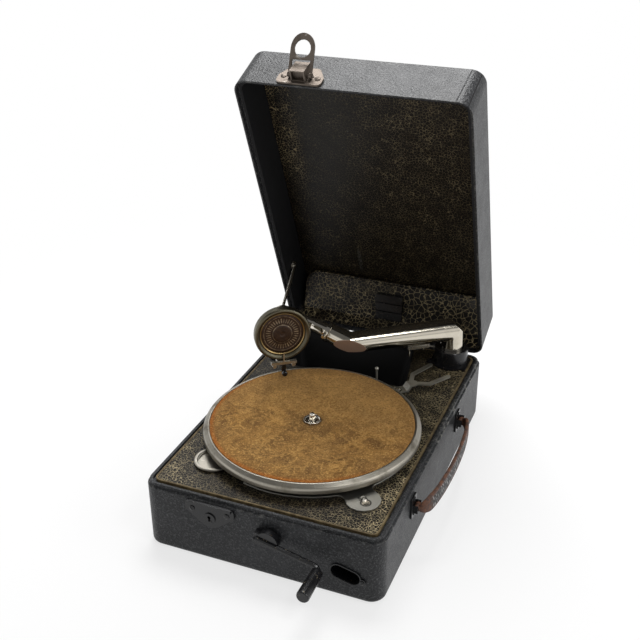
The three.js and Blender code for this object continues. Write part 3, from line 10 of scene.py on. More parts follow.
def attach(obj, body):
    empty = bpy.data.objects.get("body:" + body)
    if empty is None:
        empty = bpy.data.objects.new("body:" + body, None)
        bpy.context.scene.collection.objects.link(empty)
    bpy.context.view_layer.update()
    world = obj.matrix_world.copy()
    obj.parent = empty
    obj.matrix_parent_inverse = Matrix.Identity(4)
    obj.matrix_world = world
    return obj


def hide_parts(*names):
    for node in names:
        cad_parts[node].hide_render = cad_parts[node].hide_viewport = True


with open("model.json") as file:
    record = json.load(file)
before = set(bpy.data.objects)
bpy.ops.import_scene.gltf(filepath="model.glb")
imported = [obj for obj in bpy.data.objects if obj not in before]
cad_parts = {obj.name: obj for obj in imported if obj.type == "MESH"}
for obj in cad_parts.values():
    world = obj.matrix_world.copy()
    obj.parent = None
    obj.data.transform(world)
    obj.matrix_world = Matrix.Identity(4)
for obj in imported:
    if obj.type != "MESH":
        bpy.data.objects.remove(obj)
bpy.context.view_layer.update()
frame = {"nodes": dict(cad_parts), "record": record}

# Portable wind-up gramophone, lid open. Shapes are written in millimetres and built in metres.
mm = 0.001
print("frame loaded,", len(frame["nodes"]), "nodes")


# Shader maths

class Wire:
    # A socket that takes part in sums; each sum adds its Math node.
    def __init__(self, maker, socket):
        self.maker, self.socket = maker, socket

    def __abs__(self): return self.maker.maths("ABSOLUTE", self)
    def __add__(self, other): return self.maker.maths("ADD", self, other)
    def __sub__(self, other): return self.maker.maths("SUBTRACT", self, other)
    def __rsub__(self, other): return self.maker.maths("SUBTRACT", other, self)
    def __mul__(self, other): return self.maker.maths("MULTIPLY", self, other)
    def __truediv__(self, other): return self.maker.maths("DIVIDE", self, other)
    __radd__, __rmul__ = __add__, __mul__

    def ramp(self, low, high):  # smooth step from 0 at low to 1 at high
        smooth = {"interpolation_type": "SMOOTHSTEP"}
        values = {"Value": self, "From Min": min(low, high), "From Max": max(low, high)}
        step = self.maker.node("ShaderNodeMapRange", smooth, values, "Result")
        return 1 - step if low > high else step

    def between(self, ends):  # the same step between two places in millimetres
        return self.ramp(ends[0] * mm, ends[1] * mm)

    def near(self, place, reach, flat=0.0):  # 1 within flat of the place, falling to 0 at the reach
        return 1 - abs(self - place).ramp(flat, reach)


class NodeMaker:
    # Adds nodes to one tree, of a material or of the world.
    def __init__(self, tree):
        self.tree = tree

    def node(self, kind, settings, values, output=0):  # settings first, then what goes into its sockets
        made = self.tree.nodes.new(kind)
        for key, value in settings.items():
            setattr(made, key, value)
        for key, value in values.items():
            if isinstance(value, Wire):
                self.tree.links.new(value.socket, made.inputs[key])
            else:
                made.inputs[key].default_value = value
        return Wire(self, made.outputs[output])

    def maths(self, kind, *values):
        return self.node("ShaderNodeMath", {"operation": kind}, dict(enumerate(values)))

    def vector(self, kind, *values, output="Vector"):
        return self.node("ShaderNodeVectorMath", {"operation": kind}, dict(enumerate(values)), output)

    def dot(self, at, way):
        return self.vector("DOT_PRODUCT", at, tuple(way), output="Value")

    def length(self, x, y):
        return self.maths("SQRT", x * x + y * y)

    def axes(self, at):
        split = self.node("ShaderNodeSeparateXYZ", {}, {0: at}).socket.node
        return [Wire(self, output) for output in split.outputs]

    def join(self, x, y, z):
        return self.node("ShaderNodeCombineXYZ", {}, {0: x, 1: y, 2: z})

    def rays(self, *kinds):  # 1 for the rays named, such as those from the camera
        found = self.node("ShaderNodeLightPath", {}, {}, kinds[0])
        for kind in kinds[1:]:
            found = self.maths("MAXIMUM", found, self.node("ShaderNodeLightPath", {}, {}, kind))
        return found

    def blend(self, share, first, second):
        settings = {"data_type": "RGBA", "clamp_factor": True}
        colours = {0: share, 6: first, 7: second}  # a colour mix has its own sockets
        return self.node("ShaderNodeMix", settings, colours, 2)

    def coats(self, colour, *coats):  # each coat is a share and a colour, and covers what lies under it
        for share, coat in coats:
            colour = self.blend(share, colour, coat)
        return colour


class Finish(NodeMaker):
    # One material: the constants go straight on the shader, the rest is wired to it.
    def __init__(self, name, **fixed):
        self.material = bpy.data.materials.new(name)
        self.material.use_nodes = True
        super().__init__(self.material.node_tree)
        self.shader = self.tree.nodes["Principled BSDF"]
        for socket, value in fixed.items():
            self.shader.inputs[socket.replace("_", " ")].default_value = value
        self.at = self.node("ShaderNodeTexCoord", {}, {}, "Object")

    def noise(self, size, detail=3.0, rough=0.55, bend=0.0, at=None, output=0):
        values = {"Vector": at or self.at, "Scale": 1 / (size * mm), "Detail": detail, "Roughness": rough}
        return self.node("ShaderNodeTexNoise", {}, {**values, "Distortion": bend}, output)

    def cells(self, at, size, feature):
        values = {"Vector": at, "Scale": 1 / (size * mm)}
        return self.node("ShaderNodeTexVoronoi", {"feature": feature}, values, "Distance")

    def warped(self, at, size, amount):  # the place, pushed about by a noise of that size
        push = self.noise(size, 2.0, at=at, output="Color")
        push = self.vector("SUBTRACT", push, (0.5, 0.5, 0.5))
        scale = {0: push, "Scale": amount * mm * 2}
        return self.vector("ADD", at, self.node("ShaderNodeVectorMath", {"operation": "SCALE"}, scale))

    def surface(self, colour, rough, height, depth, strength, **links):
        values = {"Height": height, "Distance": depth * mm, "Strength": strength}
        bump = self.node("ShaderNodeBump", {}, values, "Normal")
        return self.wire(Base_Color=colour, Roughness=rough, Normal=bump, **links)

    def wire(self, **links):
        for socket, value in links.items():
            self.tree.links.new(value.socket, self.shader.inputs[socket.replace("_", " ")])
        return self.material


def shade(red, green, blue):  # a colour read off a screen, 0 to 255, as light by the screen's curve
    parts = [value / 255 for value in (red, green, blue)]
    parts = [part / 12.92 if part < 0.04 else ((part + 0.055) / 1.055) ** 2.4 for part in parts]
    return *parts, 1.0


# Places on the lid: along it from its hinge edge, and deep from its rim

lid = {
    "width": 279.0, "length": 410.4, "corner": 17.0, "rim": 79.6, "depth": 61.8, "skin": 2.1,
    "rebate": 5.0, "rebateDrop": 0.3, "wall": 7.0, "top": 5.0, "topInset": 34.0, "open": 68.0,
    "pivotY": 209.2, "pivotZ": 82.0,
    "rounds": (0, 5.0, 0.6, 0.5, 0, 0.4, 0.8, 0),  # one for each corner of the section, as all rounds are
}
lidCos, lidSin = math.cos(math.radians(lid["open"])), math.sin(math.radians(lid["open"]))


def lidOpened(points):  # turns points of the shut lid about its hinge line
    y, z = points[..., 1] - lid["pivotY"], points[..., 2] - lid["pivotZ"]
    turned = points.copy()
    turned[..., 1] = lid["pivotY"] + lidCos * y + lidSin * z
    turned[..., 2] = lid["pivotZ"] - lidSin * y + lidCos * z
    return turned


def lidPlaces(finish):  # sideways, along from the hinge edge and deep from the rim, in metres
    hingeEdge = lidOpened(np.array([0.0, lid["length"] / 2, lid["rim"]])) * mm
    local = finish.vector("SUBTRACT", finish.at, tuple(hingeEdge))
    along, deep = finish.dot(local, (0, -lidCos, lidSin)), finish.dot(local, (0, lidSin, lidCos))
    return finish.axes(finish.at)[0], along, deep


# Finishes

clothLook = {
    "black": shade(22, 23, 25), "grey": shade(50, 51, 54), "speck": shade(116, 117, 118),
    "rubbed": shade(138, 137, 132), "inside": shade(4, 4, 6), "insideCloud": shade(17, 17, 20),
    "seam": shade(16, 16, 18), "grain": 2.0, "fleck": 2.2, "roughness": 0.35, "bump": 0.5, "mark": 26.0,
    "lidMark": 30.0, "rim": 78.6, "rimReach": 2.4, "foot": 7.0, "lidEdge": 2.0, "lidReach": 3.0,
    "seamX": 121.5,
}


def clothGrain(finish):  # pebbled embossing under a finer tooth, as a height from 0 to 1
    at = finish.warped(finish.at, 3.0, 0.6)
    pebble = finish.cells(at, clothLook["grain"], "SMOOTH_F1")
    tooth = finish.noise(0.7, 2.0)
    return pebble * 0.9 + tooth * 0.3


def clothColour(finish, rubbedPlaces):
    # Black to grey by a broad noise, with pale flecks on the tops of the grain and rubbed places over both.
    broad = finish.noise(60.0, 4.0).ramp(0.3, 0.8) * 0.7
    fleck = finish.noise(clothLook["fleck"], 4.0, 0.85).ramp(0.5, 0.64) * 0.58
    patch = finish.noise(7.0, 4.0, 0.65).ramp(0.5, 0.7)
    return finish.coats(clothLook["black"], (broad, clothLook["grey"]), (fleck, clothLook["speck"]),
                        (rubbedPlaces * patch * 0.85, clothLook["rubbed"]))


def clothGloss(finish):  # roughness by a slow noise
    return finish.noise(22.0) * 0.18 + clothLook["roughness"]


def scratches(finish, size, width, stretch=0.3):  # thin marks: where a stretched noise crosses its middle
    x, y, z = finish.axes(finish.at)
    wave = finish.noise(size, 2.0, 0.4, 0.6, finish.join(x * stretch, y, z * stretch))
    return wave.near(0.5, width) * finish.noise(size * 0.8, 1.0).ramp(0.6, 0.66)


def caseCloth():
    # Leathercloth, worn along the top rim and the foot, most at the upper right edge.
    finish = Finish("caseCloth", Specular_IOR_Level=0.28)
    x, y, z = finish.axes(finish.at)
    rim = z.near(clothLook["rim"] * mm, clothLook["rimReach"] * mm)
    rightRim = z.between((66, 78)) * x.between((125, 138.5)) * y.between((-120, 80))
    foot = z.ramp(clothLook["foot"] * mm, 0.0)
    marks = scratches(finish, clothLook["mark"], 0.012)
    colour = clothColour(finish, rim * 0.5 + rightRim + foot * 0.35 + marks * 0.25)
    return finish.surface(colour, clothGloss(finish), clothGrain(finish), clothLook["bump"], 1.0)


crackleLook = {
    "brown": shade(22, 16, 10), "black": shade(8, 7, 6), "vein": shade(206, 188, 146),
    "faint": shade(96, 86, 66), "fineShare": 0.52, "fineWidth": 1.1, "leastWidth": 0.35,
    # the size of an island, half the width of a vein, and the share of the veins that is closed
    "deck": (3.5, 0.25, 0.16), "lining": (3.8, 0.2, 0.06), "lidWall": (4.6, 0.26, 0.26),
    "deflectorRight": (7.0, 0.4, 0.14), "deflectorLeft": (5.2, 0.3, 0.24),
}


def crackle(finish, place):
    # Veins lie where two shrunken islands of enamel part; a slow noise narrows them and closes some.
    cell, vein, drop = crackleLook[place]
    at = finish.warped(finish.warped(finish.at, cell * 1.1, cell * 0.3), cell * 0.3, cell * 0.08)
    least = vein / cell * crackleLook["leastWidth"]
    width = finish.noise(cell * 5, 2.0).ramp(0.25, 0.75) * (vein / cell) + least
    island = finish.cells(at, cell, "DISTANCE_TO_EDGE")
    small = finish.cells(at, cell * crackleLook["fineShare"], "DISTANCE_TO_EDGE")
    wide = 1 - finish.maths("SMOOTH_MIN", island / width, 1.0, 0.3)
    fine = 1 - finish.maths("SMOOTH_MIN", small / (width * crackleLook["fineWidth"]), 1.0, 0.3)
    patch = finish.noise(cell * 2.2, 2.0).ramp(0.56, 0.66)
    kept = finish.noise(cell * 1.7, 2.0).ramp(drop, drop + 0.14)
    return finish.maths("MAXIMUM", wide * kept, fine * patch * 0.6)


def crackleColour(finish, veins, glow):
    # glow: how pale the veins are; from the deck and the lining it carries painted light as well as tone
    ground = finish.blend(finish.noise(18.0), crackleLook["black"], crackleLook["brown"])
    light = finish.blend(glow, crackleLook["faint"], crackleLook["vein"])
    return finish.blend(veins.ramp(0.1, 0.75), ground, light)


crackleGloss = {"cloud": 12.0, "haze": 0.2, "least": 0.34, "ripple": 1.2, "depth": 0.14, "strength": 0.8}


def crackleSurface(finish, veins, colour, **changed):
    # The veins lie lower than the islands, whose tops ripple a little.
    size = {**crackleGloss, **changed}
    rough = finish.noise(size["cloud"]) * size["haze"] + size["least"]
    height = veins * -1.0 + finish.noise(size["ripple"], 2.0) * 0.3
    return finish.surface(colour, rough, height, size["depth"], size["strength"])


deckEdge = {
    "halfWidth": 130.2, "halfLength": 195.9, "corner": 7.7, "bead": 2.3, "fade": 0.3,
    "light": (-40.0, -2.0), "gilt": shade(126, 110, 78), "wornGilt": shade(92, 78, 54),
}


def deckEnamel():
    # A place's distance inside the rounded edge gives the gilt bead and the paler veins at the front corners,
    # which are painted light.
    finish = Finish("deckEnamel", Specular_IOR_Level=0.22)
    x, y, z = finish.axes(finish.at)
    outX = abs(x) - (deckEdge["halfWidth"] - deckEdge["corner"]) * mm
    outY = abs(y) - (deckEdge["halfLength"] - deckEdge["corner"]) * mm
    outside = finish.length(finish.maths("MAXIMUM", outX, 0.0), finish.maths("MAXIMUM", outY, 0.0))
    inner = finish.maths("MINIMUM", finish.maths("MAXIMUM", outX, outY), 0.0)
    margin = outside + inner - deckEdge["corner"] * mm  # 0 at the edge of the board, less inside it
    bead = margin.between((-deckEdge["bead"], deckEdge["fade"] - deckEdge["bead"]))
    veins = crackle(finish, "deck")
    glow = finish.noise(55.0, 3.0, 0.6).ramp(0.36, 0.66) * 0.12
    # corners: veins painted paler at the front corners, painted light that leaves the middle front darker as
    # if in shade; light holds both tone and this painted light
    corners = margin.between(deckEdge["light"]) * y.between((50, -130)) * abs(x).between((30, 115))
    right = x.between((50, 110)) * y.between((-150, 50))
    light = glow + corners * (x.between((-50, 100)) * 0.3 + 0.6) + right * 0.6
    worn = finish.noise(9.0, 4.0, 0.7).ramp(0.42, 0.62)
    gilt = finish.blend(worn, deckEdge["wornGilt"], deckEdge["gilt"])
    colour = finish.blend(bead, crackleColour(finish, veins, light), gilt)
    return crackleSurface(finish, veins, colour)


liningLook = {
    "flakeX": -43.5, "flakeAlong": 88.0, "flakeSlim": 9.0, "flakeStretch": 0.28, "flakeEnd": (26, 20),
    # haze: the colour of the painted reflection at the upper left
    "chip": shade(120, 120, 112), "haze": shade(44, 43, 38),
}


def liningEnamel():
    # Fine crackle, smoother at the upper left under a pale haze that is a painted reflection, with veins
    # paler towards the lid's far end as painted light, one long flake and small chips.
    finish = Finish("liningEnamel", Specular_IOR_Level=0.22)
    x, along, deep = lidPlaces(finish)
    strip = x.between((-92, -108)) * along.between((180, 250))  # brighter cracks along the left edge
    # glow: veins paler by a slow noise, to the right, and towards the lid's far end, the last of these
    # painted light
    glow = finish.noise(60.0, 3.0, 0.6) * 0.15 + x.between((-40, 90)) * 0.12 + along.between((200, 380)) * 0.2
    smooth = x.between((30, -50)) * along.between((50, 300)) * (1 - strip)
    veins = crackle(finish, "lining") * (1 - smooth * 0.45)
    # haze: a pale haze painted at the upper left, a painted reflection of the lamp
    haze = finish.noise(90.0, 2.0).ramp(0.3, 0.8) * smooth * along.between((120, 340))
    sideways, upwards = x - liningLook["flakeX"] * mm, along - liningLook["flakeAlong"] * mm
    flake = finish.length(sideways * liningLook["flakeSlim"], upwards).between(liningLook["flakeEnd"])
    torn = finish.join(sideways / liningLook["flakeStretch"], upwards, deep)
    flake = flake * finish.noise(3.0, 4.0, 0.7, at=torn).ramp(0.46, 0.56)
    chips = finish.noise(5.0, 2.0, 0.5).ramp(0.76, 0.79)
    bare = finish.maths("MAXIMUM", flake * 0.45, chips * 0.35)
    enamel = crackleColour(finish, veins, glow + strip * 0.6)
    colour = finish.coats(enamel, (haze * 0.4, liningLook["haze"]), (bare, liningLook["chip"]))
    return crackleSurface(finish, veins, colour, cloud=16.0, haze=0.16, ripple=1.6, depth=0.1, strength=0.7)


def deflectorEnamel():
    # Wide cracks on the right half, narrower ones on the left.
    finish = Finish("deflectorEnamel", Specular_IOR_Level=0.25)
    right = finish.axes(finish.at)[0].between((-30, 30))
    large, small = crackle(finish, "deflectorRight"), crackle(finish, "deflectorLeft")
    veins = finish.maths("MAXIMUM", large * right, small * (1 - right))
    glow = finish.noise(40.0, 3.0, 0.6).ramp(0.3, 0.66) * 0.5 + 0.25 + right * 0.15
    colour = crackleColour(finish, veins, glow)
    return crackleSurface(finish, veins, colour, cloud=14.0, haze=0.16, least=0.28, depth=0.12)


def lidCloth():
    # Leathercloth outside, plain blue-black paint inside, crackle enamel on the wall behind the deflector.
    finish = Finish("lidCloth", Specular_IOR_Level=0.4)
    x, along, deep = lidPlaces(finish)
    wall = (lid["wall"] + lid["skin"]) / 2 * mm
    side = (lid["width"] / 2) * mm - abs(x)
    inset = finish.maths("MINIMUM", side, finish.maths("MINIMUM", along, lid["length"] * mm - along))
    ceiling = lid["depth"] - lid["top"]
    inside = inset.ramp(wall - 0.3 * mm, wall) * deep.between((ceiling + 1.5, ceiling))
    hingeWall = inside * along.between((12, 9))
    rim = deep.between((1.6, 0.2)) * 0.6
    topEdge = deep.near((lid["depth"] - clothLook["lidEdge"]) * mm, clothLook["lidReach"] * mm)
    marks = scratches(finish, clothLook["lidMark"], 0.01)
    seamX = deep * 0.04 + clothLook["seamX"] * mm
    end = along.between((396, 404))
    seam = end * x.near(seamX, 0.8 * mm, 0.25 * mm)
    lap = end * (x - seamX).between((0.0, 0.5))
    cloth = clothColour(finish, rim + topEdge * 0.4 + marks * 0.3)
    cloth = finish.blend(seam * 0.75, cloth, clothLook["seam"])
    plain = finish.blend(finish.noise(14.0), clothLook["inside"], clothLook["insideCloud"])
    enamel = crackleColour(finish, crackle(finish, "lidWall"), finish.noise(30.0, 2.0))
    colour = finish.blend(inside, cloth, finish.blend(hingeWall, plain, enamel))
    height = clothGrain(finish) * (1 - inside) + lap * 1.2 - seam * 0.8
    return finish.surface(colour, clothGloss(finish) + inside * 0.3, height, clothLook["bump"], 1.0)


feltLook = {
    "dark": shade(104, 72, 34), "light": shade(170, 126, 66), "dust": shade(124, 94, 56),
    # the paler felt painted towards the lid is painted light
    "track": shade(186, 146, 86), "combed": shade(220, 170, 96), "paintedLightBack": shade(224, 172, 100),
    "pit": shade(78, 50, 24), "edge": shade(122, 86, 44), "rust": shade(156, 92, 36),
    "middle": shade(66, 44, 24), "fibre": shade(226, 180, 108), "shadow": shade(74, 48, 22),
    "edgeRing": (96, 118), "rustRing": (112.5, 117.5), "middleRing": (17, 10),
}


def feltNap():
    # Clouds and swirls of worn nap, tracks round the middle, combed wisps, a rusty stain at the front left.
    finish = Finish("feltNap", Specular_IOR_Level=0.15, Sheen_Weight=0.06, Sheen_Roughness=0.5)
    x, y, z = finish.axes(finish.vector("SUBTRACT", finish.at, (0, turntable["y"] * mm, 0)))
    radius = finish.length(x, y)
    edge, rustRing, middle = (radius.between(feltLook[ring + "Ring"]) for ring in ("edge", "rust", "middle"))
    swirl = finish.noise(34.0, 6.0, 0.62, 1.6)
    cloud = finish.noise(75.0, 3.0, 0.5, 0.8)
    track = finish.noise(5.0, 4.0, 0.6, 0.4, finish.join(finish.maths("ARCTAN2", y, x) * 0.03, radius, 0.0))
    nap, tuft = finish.noise(2.0, 3.0, 0.85), finish.noise(3.2, 4.0, 0.7, 0.5)
    wisp = finish.noise(15.0, 3.0, 0.5, 0.8, finish.warped(finish.at, 26.0, 14.0)).near(0.5, 0.07)
    combed = finish.noise(30.0, 2.0).ramp(0.42, 0.56)
    back = y.between((-50, 90))  # paler towards the lid: painted light, making up for the shade that the open lid casts on the back of the mat
    frontLeft = (x * 0.6 + y * 0.8).between((20, -60))
    rust = rustRing * finish.noise(14.0).ramp(0.2, 0.5) * frontLeft
    coats = {
        "dust": cloud.ramp(0.35, 0.7) * 0.5, "track": track.ramp(0.52, 0.7) * 0.35,
        "combed": wisp * combed * 0.36, "paintedLightBack": back * 0.4, "pit": tuft.ramp(0.5, 0.34) * 0.4,
        "edge": edge * 0.45, "rust": rust * 0.9, "middle": middle * 0.5,
        "fibre": nap.ramp(0.54, 0.66) * 0.55, "shadow": nap.ramp(0.46, 0.34) * 0.6,
    }
    base = finish.blend(swirl.ramp(0.32, 0.68), feltLook["dark"], feltLook["light"])
    colour = finish.coats(base, *((share, feltLook[name]) for name, share in coats.items()))
    height = nap * 0.6 + tuft * 0.8 + swirl * 0.6
    return finish.surface(colour, swirl * 0.1 + 0.86, height, 0.35, 0.9)


# the facet colour is a painted reflection on the arm's facet; the dark foot colour is painted shade round a
# fastener's foot
platedMarks = {
    "rub": shade(235, 230, 220), "facet": shade(196, 166, 146), "paintedFootShade": shade(30, 27, 22),
    "head": shade(232, 226, 214),
}
metalBump = (0.05, 0.5)
metals = {  # colour, stain, least roughness, haze, share of pits and of dull places
    "dullNickel": (shade(178, 173, 162), shade(104, 96, 84), 0.26, 0.18, 0.8, 0.5),
    "platterNickel": (shade(158, 153, 142), shade(84, 76, 62), 0.28, 0.2, 1.0, 0.8),
    "brightNickel": (shade(222, 216, 204), shade(160, 148, 130), 0.07, 0.10, 0.4, 0.2),
    "pinkNickel": (shade(114, 105, 97), shade(58, 50, 44), 0.44, 0.16, 0.8, 0.8),
    "castAlloy": (shade(98, 93, 78), shade(46, 40, 32), 0.3, 0.18, 0.8, 0.7),
    "bezelBrass": (shade(156, 132, 90), shade(84, 62, 38), 0.26, 0.16, 0.7, 0.6),
    "greySteel": (shade(168, 166, 158), shade(104, 98, 86), 0.34, 0.14, 0.7, 0.5),
    "motorSteel": (shade(150, 150, 148), shade(80, 76, 70), 0.32, 0.16, 0.6, 0.5),
    "brass": (shade(186, 148, 88), shade(104, 78, 46), 0.24, 0.16, 0.7, 0.5),
}
tubeNickel = (shade(206, 199, 184), shade(140, 130, 112), 0.08, 0.10, 0.4, 0.3)


def platedLook(finish, colour, stain, rough, haze, pits, dull):
    # A broad haze, small pits, and stains that are darker and rougher; gives tone, roughness and height.
    cloud = finish.noise(24.0, 4.0, 0.6)
    pit = finish.noise(1.5, 3.0, 0.75).ramp(0.6, 0.72) * finish.noise(11.0, 2.0).ramp(0.38, 0.62)
    rub = scratches(finish, 9.0, 0.02, 0.35)
    spoiled = finish.maths("MAXIMUM", pit * pits, cloud.ramp(0.5, 0.8) * dull)
    tone = finish.coats(colour, (spoiled, stain), (rub * 0.3, platedMarks["rub"]))
    height = pit * -1.0 + finish.noise(2.4, 2.0) * 0.25
    return tone, cloud * haze + rough + spoiled * 0.22, height


def plated(name):
    finish = Finish(name, Metallic=1.0)
    return finish.surface(*platedLook(finish, *metals[name]), *metalBump)


def armPlating():
    # Bright nickel; the flat facet at the bend is painted duller and browner than the tube, a painted
    # reflection of the felt that it faces.
    finish = Finish("armPlating", Metallic=1.0)
    tone, gloss, height = platedLook(finish, *tubeNickel)
    fromBend = finish.vector("SUBTRACT", finish.at, tuple(armBend * mm))
    beyond = finish.dot(fromBend, unit(alongArm - alongNeck))
    facet = beyond.between((arm["facet"] - 0.3, arm["facet"] - 0.1))
    # the facet's brown-pink is a painted reflection of the felt
    tone = finish.blend(facet, tone, platedMarks["facet"])
    return finish.surface(tone, gloss + facet * 0.26, height, *metalBump, Metallic=1 - facet * 0.7)


fasteners = {"motorPlate": ((102.0, -151.9), 4.6), "brakeFork": ((62.1, 75.9), 4.0)}  # place and radius


def fastened(name, place, radius):
    # Grey steel that carries one bright fastener, with a dark ring painted round its foot as painted shade.
    finish = Finish(name, Metallic=1.0)
    tone, gloss, height = platedLook(finish, *metals["greySteel"])
    x, y, z = finish.axes(finish.vector("SUBTRACT", finish.at, (place[0] * mm, place[1] * mm, 0)))
    away = finish.length(x, y)
    # a dark ring painted round the fastener's foot: painted shade where the head meets the steel
    paintedFootShade = away.near(radius * 1.15 * mm, radius * 0.35 * mm, 0.3 * mm)
    head = away.ramp(radius * mm, radius * 0.9 * mm)
    tone = finish.coats(tone, (paintedFootShade * 0.85, platedMarks["paintedFootShade"]), (head, platedMarks["head"]))
    return finish.surface(tone, gloss - head * 0.24, height, *metalBump)


enamelLook = {
    "black": shade(11, 11, 13), "grey": shade(27, 27, 29), "rust": shade(92, 68, 46), "worn": 0.35,
    "gripRust": shade(138, 126, 102), "gripWorn": 0.9,
}


def enamelled(name, worn, rust):
    # Black stoving enamel, rubbed through to brown metal in small places.
    finish = Finish(name, Specular_IOR_Level=0.42)
    cloud = finish.noise(16.0, 4.0, 0.6)
    through = finish.noise(3.4, 5.0, 0.7).ramp(0.6, 0.7) * worn
    colour = finish.coats(enamelLook["black"], (cloud, enamelLook["grey"]), (through, rust))
    height = finish.noise(1.8) * 0.5 - through
    return finish.surface(colour, cloud * 0.16 + 0.17 + through * 0.35, height, 0.06, 0.6)


faceLook = {
    "dark": shade(34, 22, 15), "light": shade(58, 38, 26), "line": shade(176, 156, 126),
    "rub": shade(110, 82, 58), "rays": 36.0, "rayInner": (14.2, 15.2), "rayOuter": (21.0, 20.0),
    "rings": (23.2, 12.2), "ringHalf": 0.5, "ringFlat": 0.15,
}


def facePlate():
    # Brown lacquer with two turned rings and a band of rays, whose height is the sine of the angle. All are
    # worn on their tops.
    finish = Finish("facePlate", Metallic=0.35)
    centred = finish.vector("SUBTRACT", finish.at, tuple(value * mm for value in soundBox["centre"]))
    radius = finish.vector("LENGTH", centred, output="Value")
    across = finish.dot(centred, np.cross((0, 0, 1), facing))
    angle = finish.maths("ARCTAN2", finish.axes(centred)[2], across)
    fluted = radius.between(faceLook["rayInner"]) * radius.between(faceLook["rayOuter"])
    rays = finish.maths("SINE", angle * faceLook["rays"]).ramp(-0.2, 0.9) * fluted
    ringSize = (faceLook["ringHalf"] * mm, faceLook["ringFlat"] * mm)
    outerRing, innerRing = (radius.near(place * mm, *ringSize) for place in faceLook["rings"])
    cloud, rub = finish.noise(9.0, 4.0, 0.6), finish.noise(4.0, 4.0, 0.7).ramp(0.42, 0.6)
    lines = finish.maths("MAXIMUM", finish.maths("MAXIMUM", outerRing, innerRing), rays)
    colour = finish.coats(faceLook["dark"], (cloud, faceLook["light"]),
                          (lines * (rub * 0.6 + 0.25), faceLook["line"]), (rub * 0.16, faceLook["rub"]))
    height = rays * 3.0 + outerRing * 1.5 + innerRing * 1.5
    return finish.surface(colour, cloud * 0.18 + 0.34, height, 0.06, 0.7)


leatherLook = {
    "dark": shade(58, 34, 22), "light": shade(116, 72, 46), "grey": shade(60, 58, 60),
    "pale": shade(184, 182, 180), "crack": shade(30, 26, 24), "skin": 0.9, "edge": (7.6, 9.4),
    "front": (-98, -86), "back": (55, 30),
}


def strapLeather():
    # Brown leather with a raised edge; its outer face is greyed, cracked across and shiny.
    finish = Finish("strapLeather", Specular_IOR_Level=0.5)
    x, y, z = finish.axes(finish.at)
    edge = abs(z - strap["level"] * mm).between(leatherLook["edge"])
    outer = (x - (strapOuter(finish, y) - leatherLook["skin"] * mm)).between((0.0, 0.6))
    face = outer * (1 - edge) * y.between(leatherLook["front"]) * y.between(leatherLook["back"])
    slanted = finish.join(x, y + z * 0.55, z * 0.16)
    crease = finish.cells(finish.warped(slanted, 4.0, 0.8), 3.1, "DISTANCE_TO_EDGE")
    crack = 1 - crease.ramp(0.05, 0.24)
    wear = finish.noise(7.0, 4.0, 0.65)
    brown = finish.blend(wear.ramp(0.35, 0.7), leatherLook["dark"], leatherLook["light"])
    scuffs = finish.noise(2.2, 3.0, 0.7, at=slanted).ramp(0.4, 0.6)
    grey = finish.coats(leatherLook["grey"], (scuffs, leatherLook["pale"]), (crack, leatherLook["crack"]))
    colour = finish.blend(face * wear.ramp(0.22, 0.42), brown, grey)
    height = crack * -1.0 * face + finish.noise(1.1, 3.0, 0.6) * 0.5 - edge * 0.3
    return finish.surface(colour, wear * 0.25 + 0.48, height, 0.4, 0.9)


def strapOuter(finish, y):  # how far out the strap's outer face lies, from the same arch as the strap
    middle, half = (strap["front"] + strap["back"]) / 2 * mm, (strap["back"] - strap["front"]) / 2 * mm
    across = finish.maths("MINIMUM", abs((y - middle) / half), 1.0)
    rise = finish.maths("POWER", 1 - across * across, strap["arch"] / 2)
    foot = strap["out"] + (strap["eye"] + strap["thick"]) / 2
    return rise * ((strap["bow"] - strap["eye"] / 2) * mm) + foot * mm


chamberLook = {"black": shade(12, 12, 13), "cloud": shade(24, 23, 23)}
boardLook = {"dark": shade(84, 62, 42), "light": shade(128, 100, 68), "stain": shade(64, 50, 38)}


def blackChamber():
    # Flat black paint, a little cloudy.
    finish = Finish("blackChamber", Specular_IOR_Level=0.3)
    cloud = finish.noise(20.0, 4.0, 0.6)
    colour = finish.blend(cloud, chamberLook["black"], chamberLook["cloud"])
    return finish.surface(colour, cloud * 0.2 + 0.6, finish.noise(2.5), 0.1, 0.6)


def bareBoard():
    # Plywood: rings of grain stretched along the board.
    finish = Finish("bareBoard", Specular_IOR_Level=0.3)
    x, y, z = finish.axes(finish.at)
    grain = finish.noise(5.0, 4.0, 0.6, 1.2, finish.join(x, y * 0.08, z))
    colour = finish.coats(boardLook["dark"], (grain.ramp(0.3, 0.7), boardLook["light"]),
                          (finish.noise(70.0) * 0.5, boardLook["stain"]))
    return finish.surface(colour, grain * 0.25 + 0.6, grain, 0.12, 0.6)


# Surfaces

def unit(vectors):  # a vector, or each row of them, at length 1
    vectors = np.asarray(vectors, float)
    return vectors / np.linalg.norm(vectors, axis=-1, keepdims=True)


def softened(corners, radius, steps=4, closed=True):
    # Each corner of a profile becomes a quadratic curve from one radius, or half a side, before it to as far
    # after it: (1 - t)^2 start + 2 t (1 - t) corner + t^2 end.
    corners = np.asarray(corners, float)
    before, after = np.roll(corners, 1, 0) - corners, np.roll(corners, -1, 0) - corners
    sideBefore = np.linalg.norm(before, axis=1, keepdims=True)
    sideAfter = np.linalg.norm(after, axis=1, keepdims=True)
    radii = np.broadcast_to(np.asarray(radius, float), len(corners))[:, None]
    reach = np.minimum(radii, np.minimum(sideBefore, sideAfter) / 2)
    start, end = corners + before / sideBefore * reach, corners + after / sideAfter * reach
    t = np.linspace(0, 1, steps + 1)[None, :, None]
    curves = (1 - t) ** 2 * start[:, None] + 2 * t * (1 - t) * corners[:, None] + t**2 * end[:, None]
    if closed:
        return curves.reshape(-1, corners.shape[1])
    return np.concatenate([corners[:1], curves[1:-1].reshape(-1, corners.shape[1]), corners[-1:]])


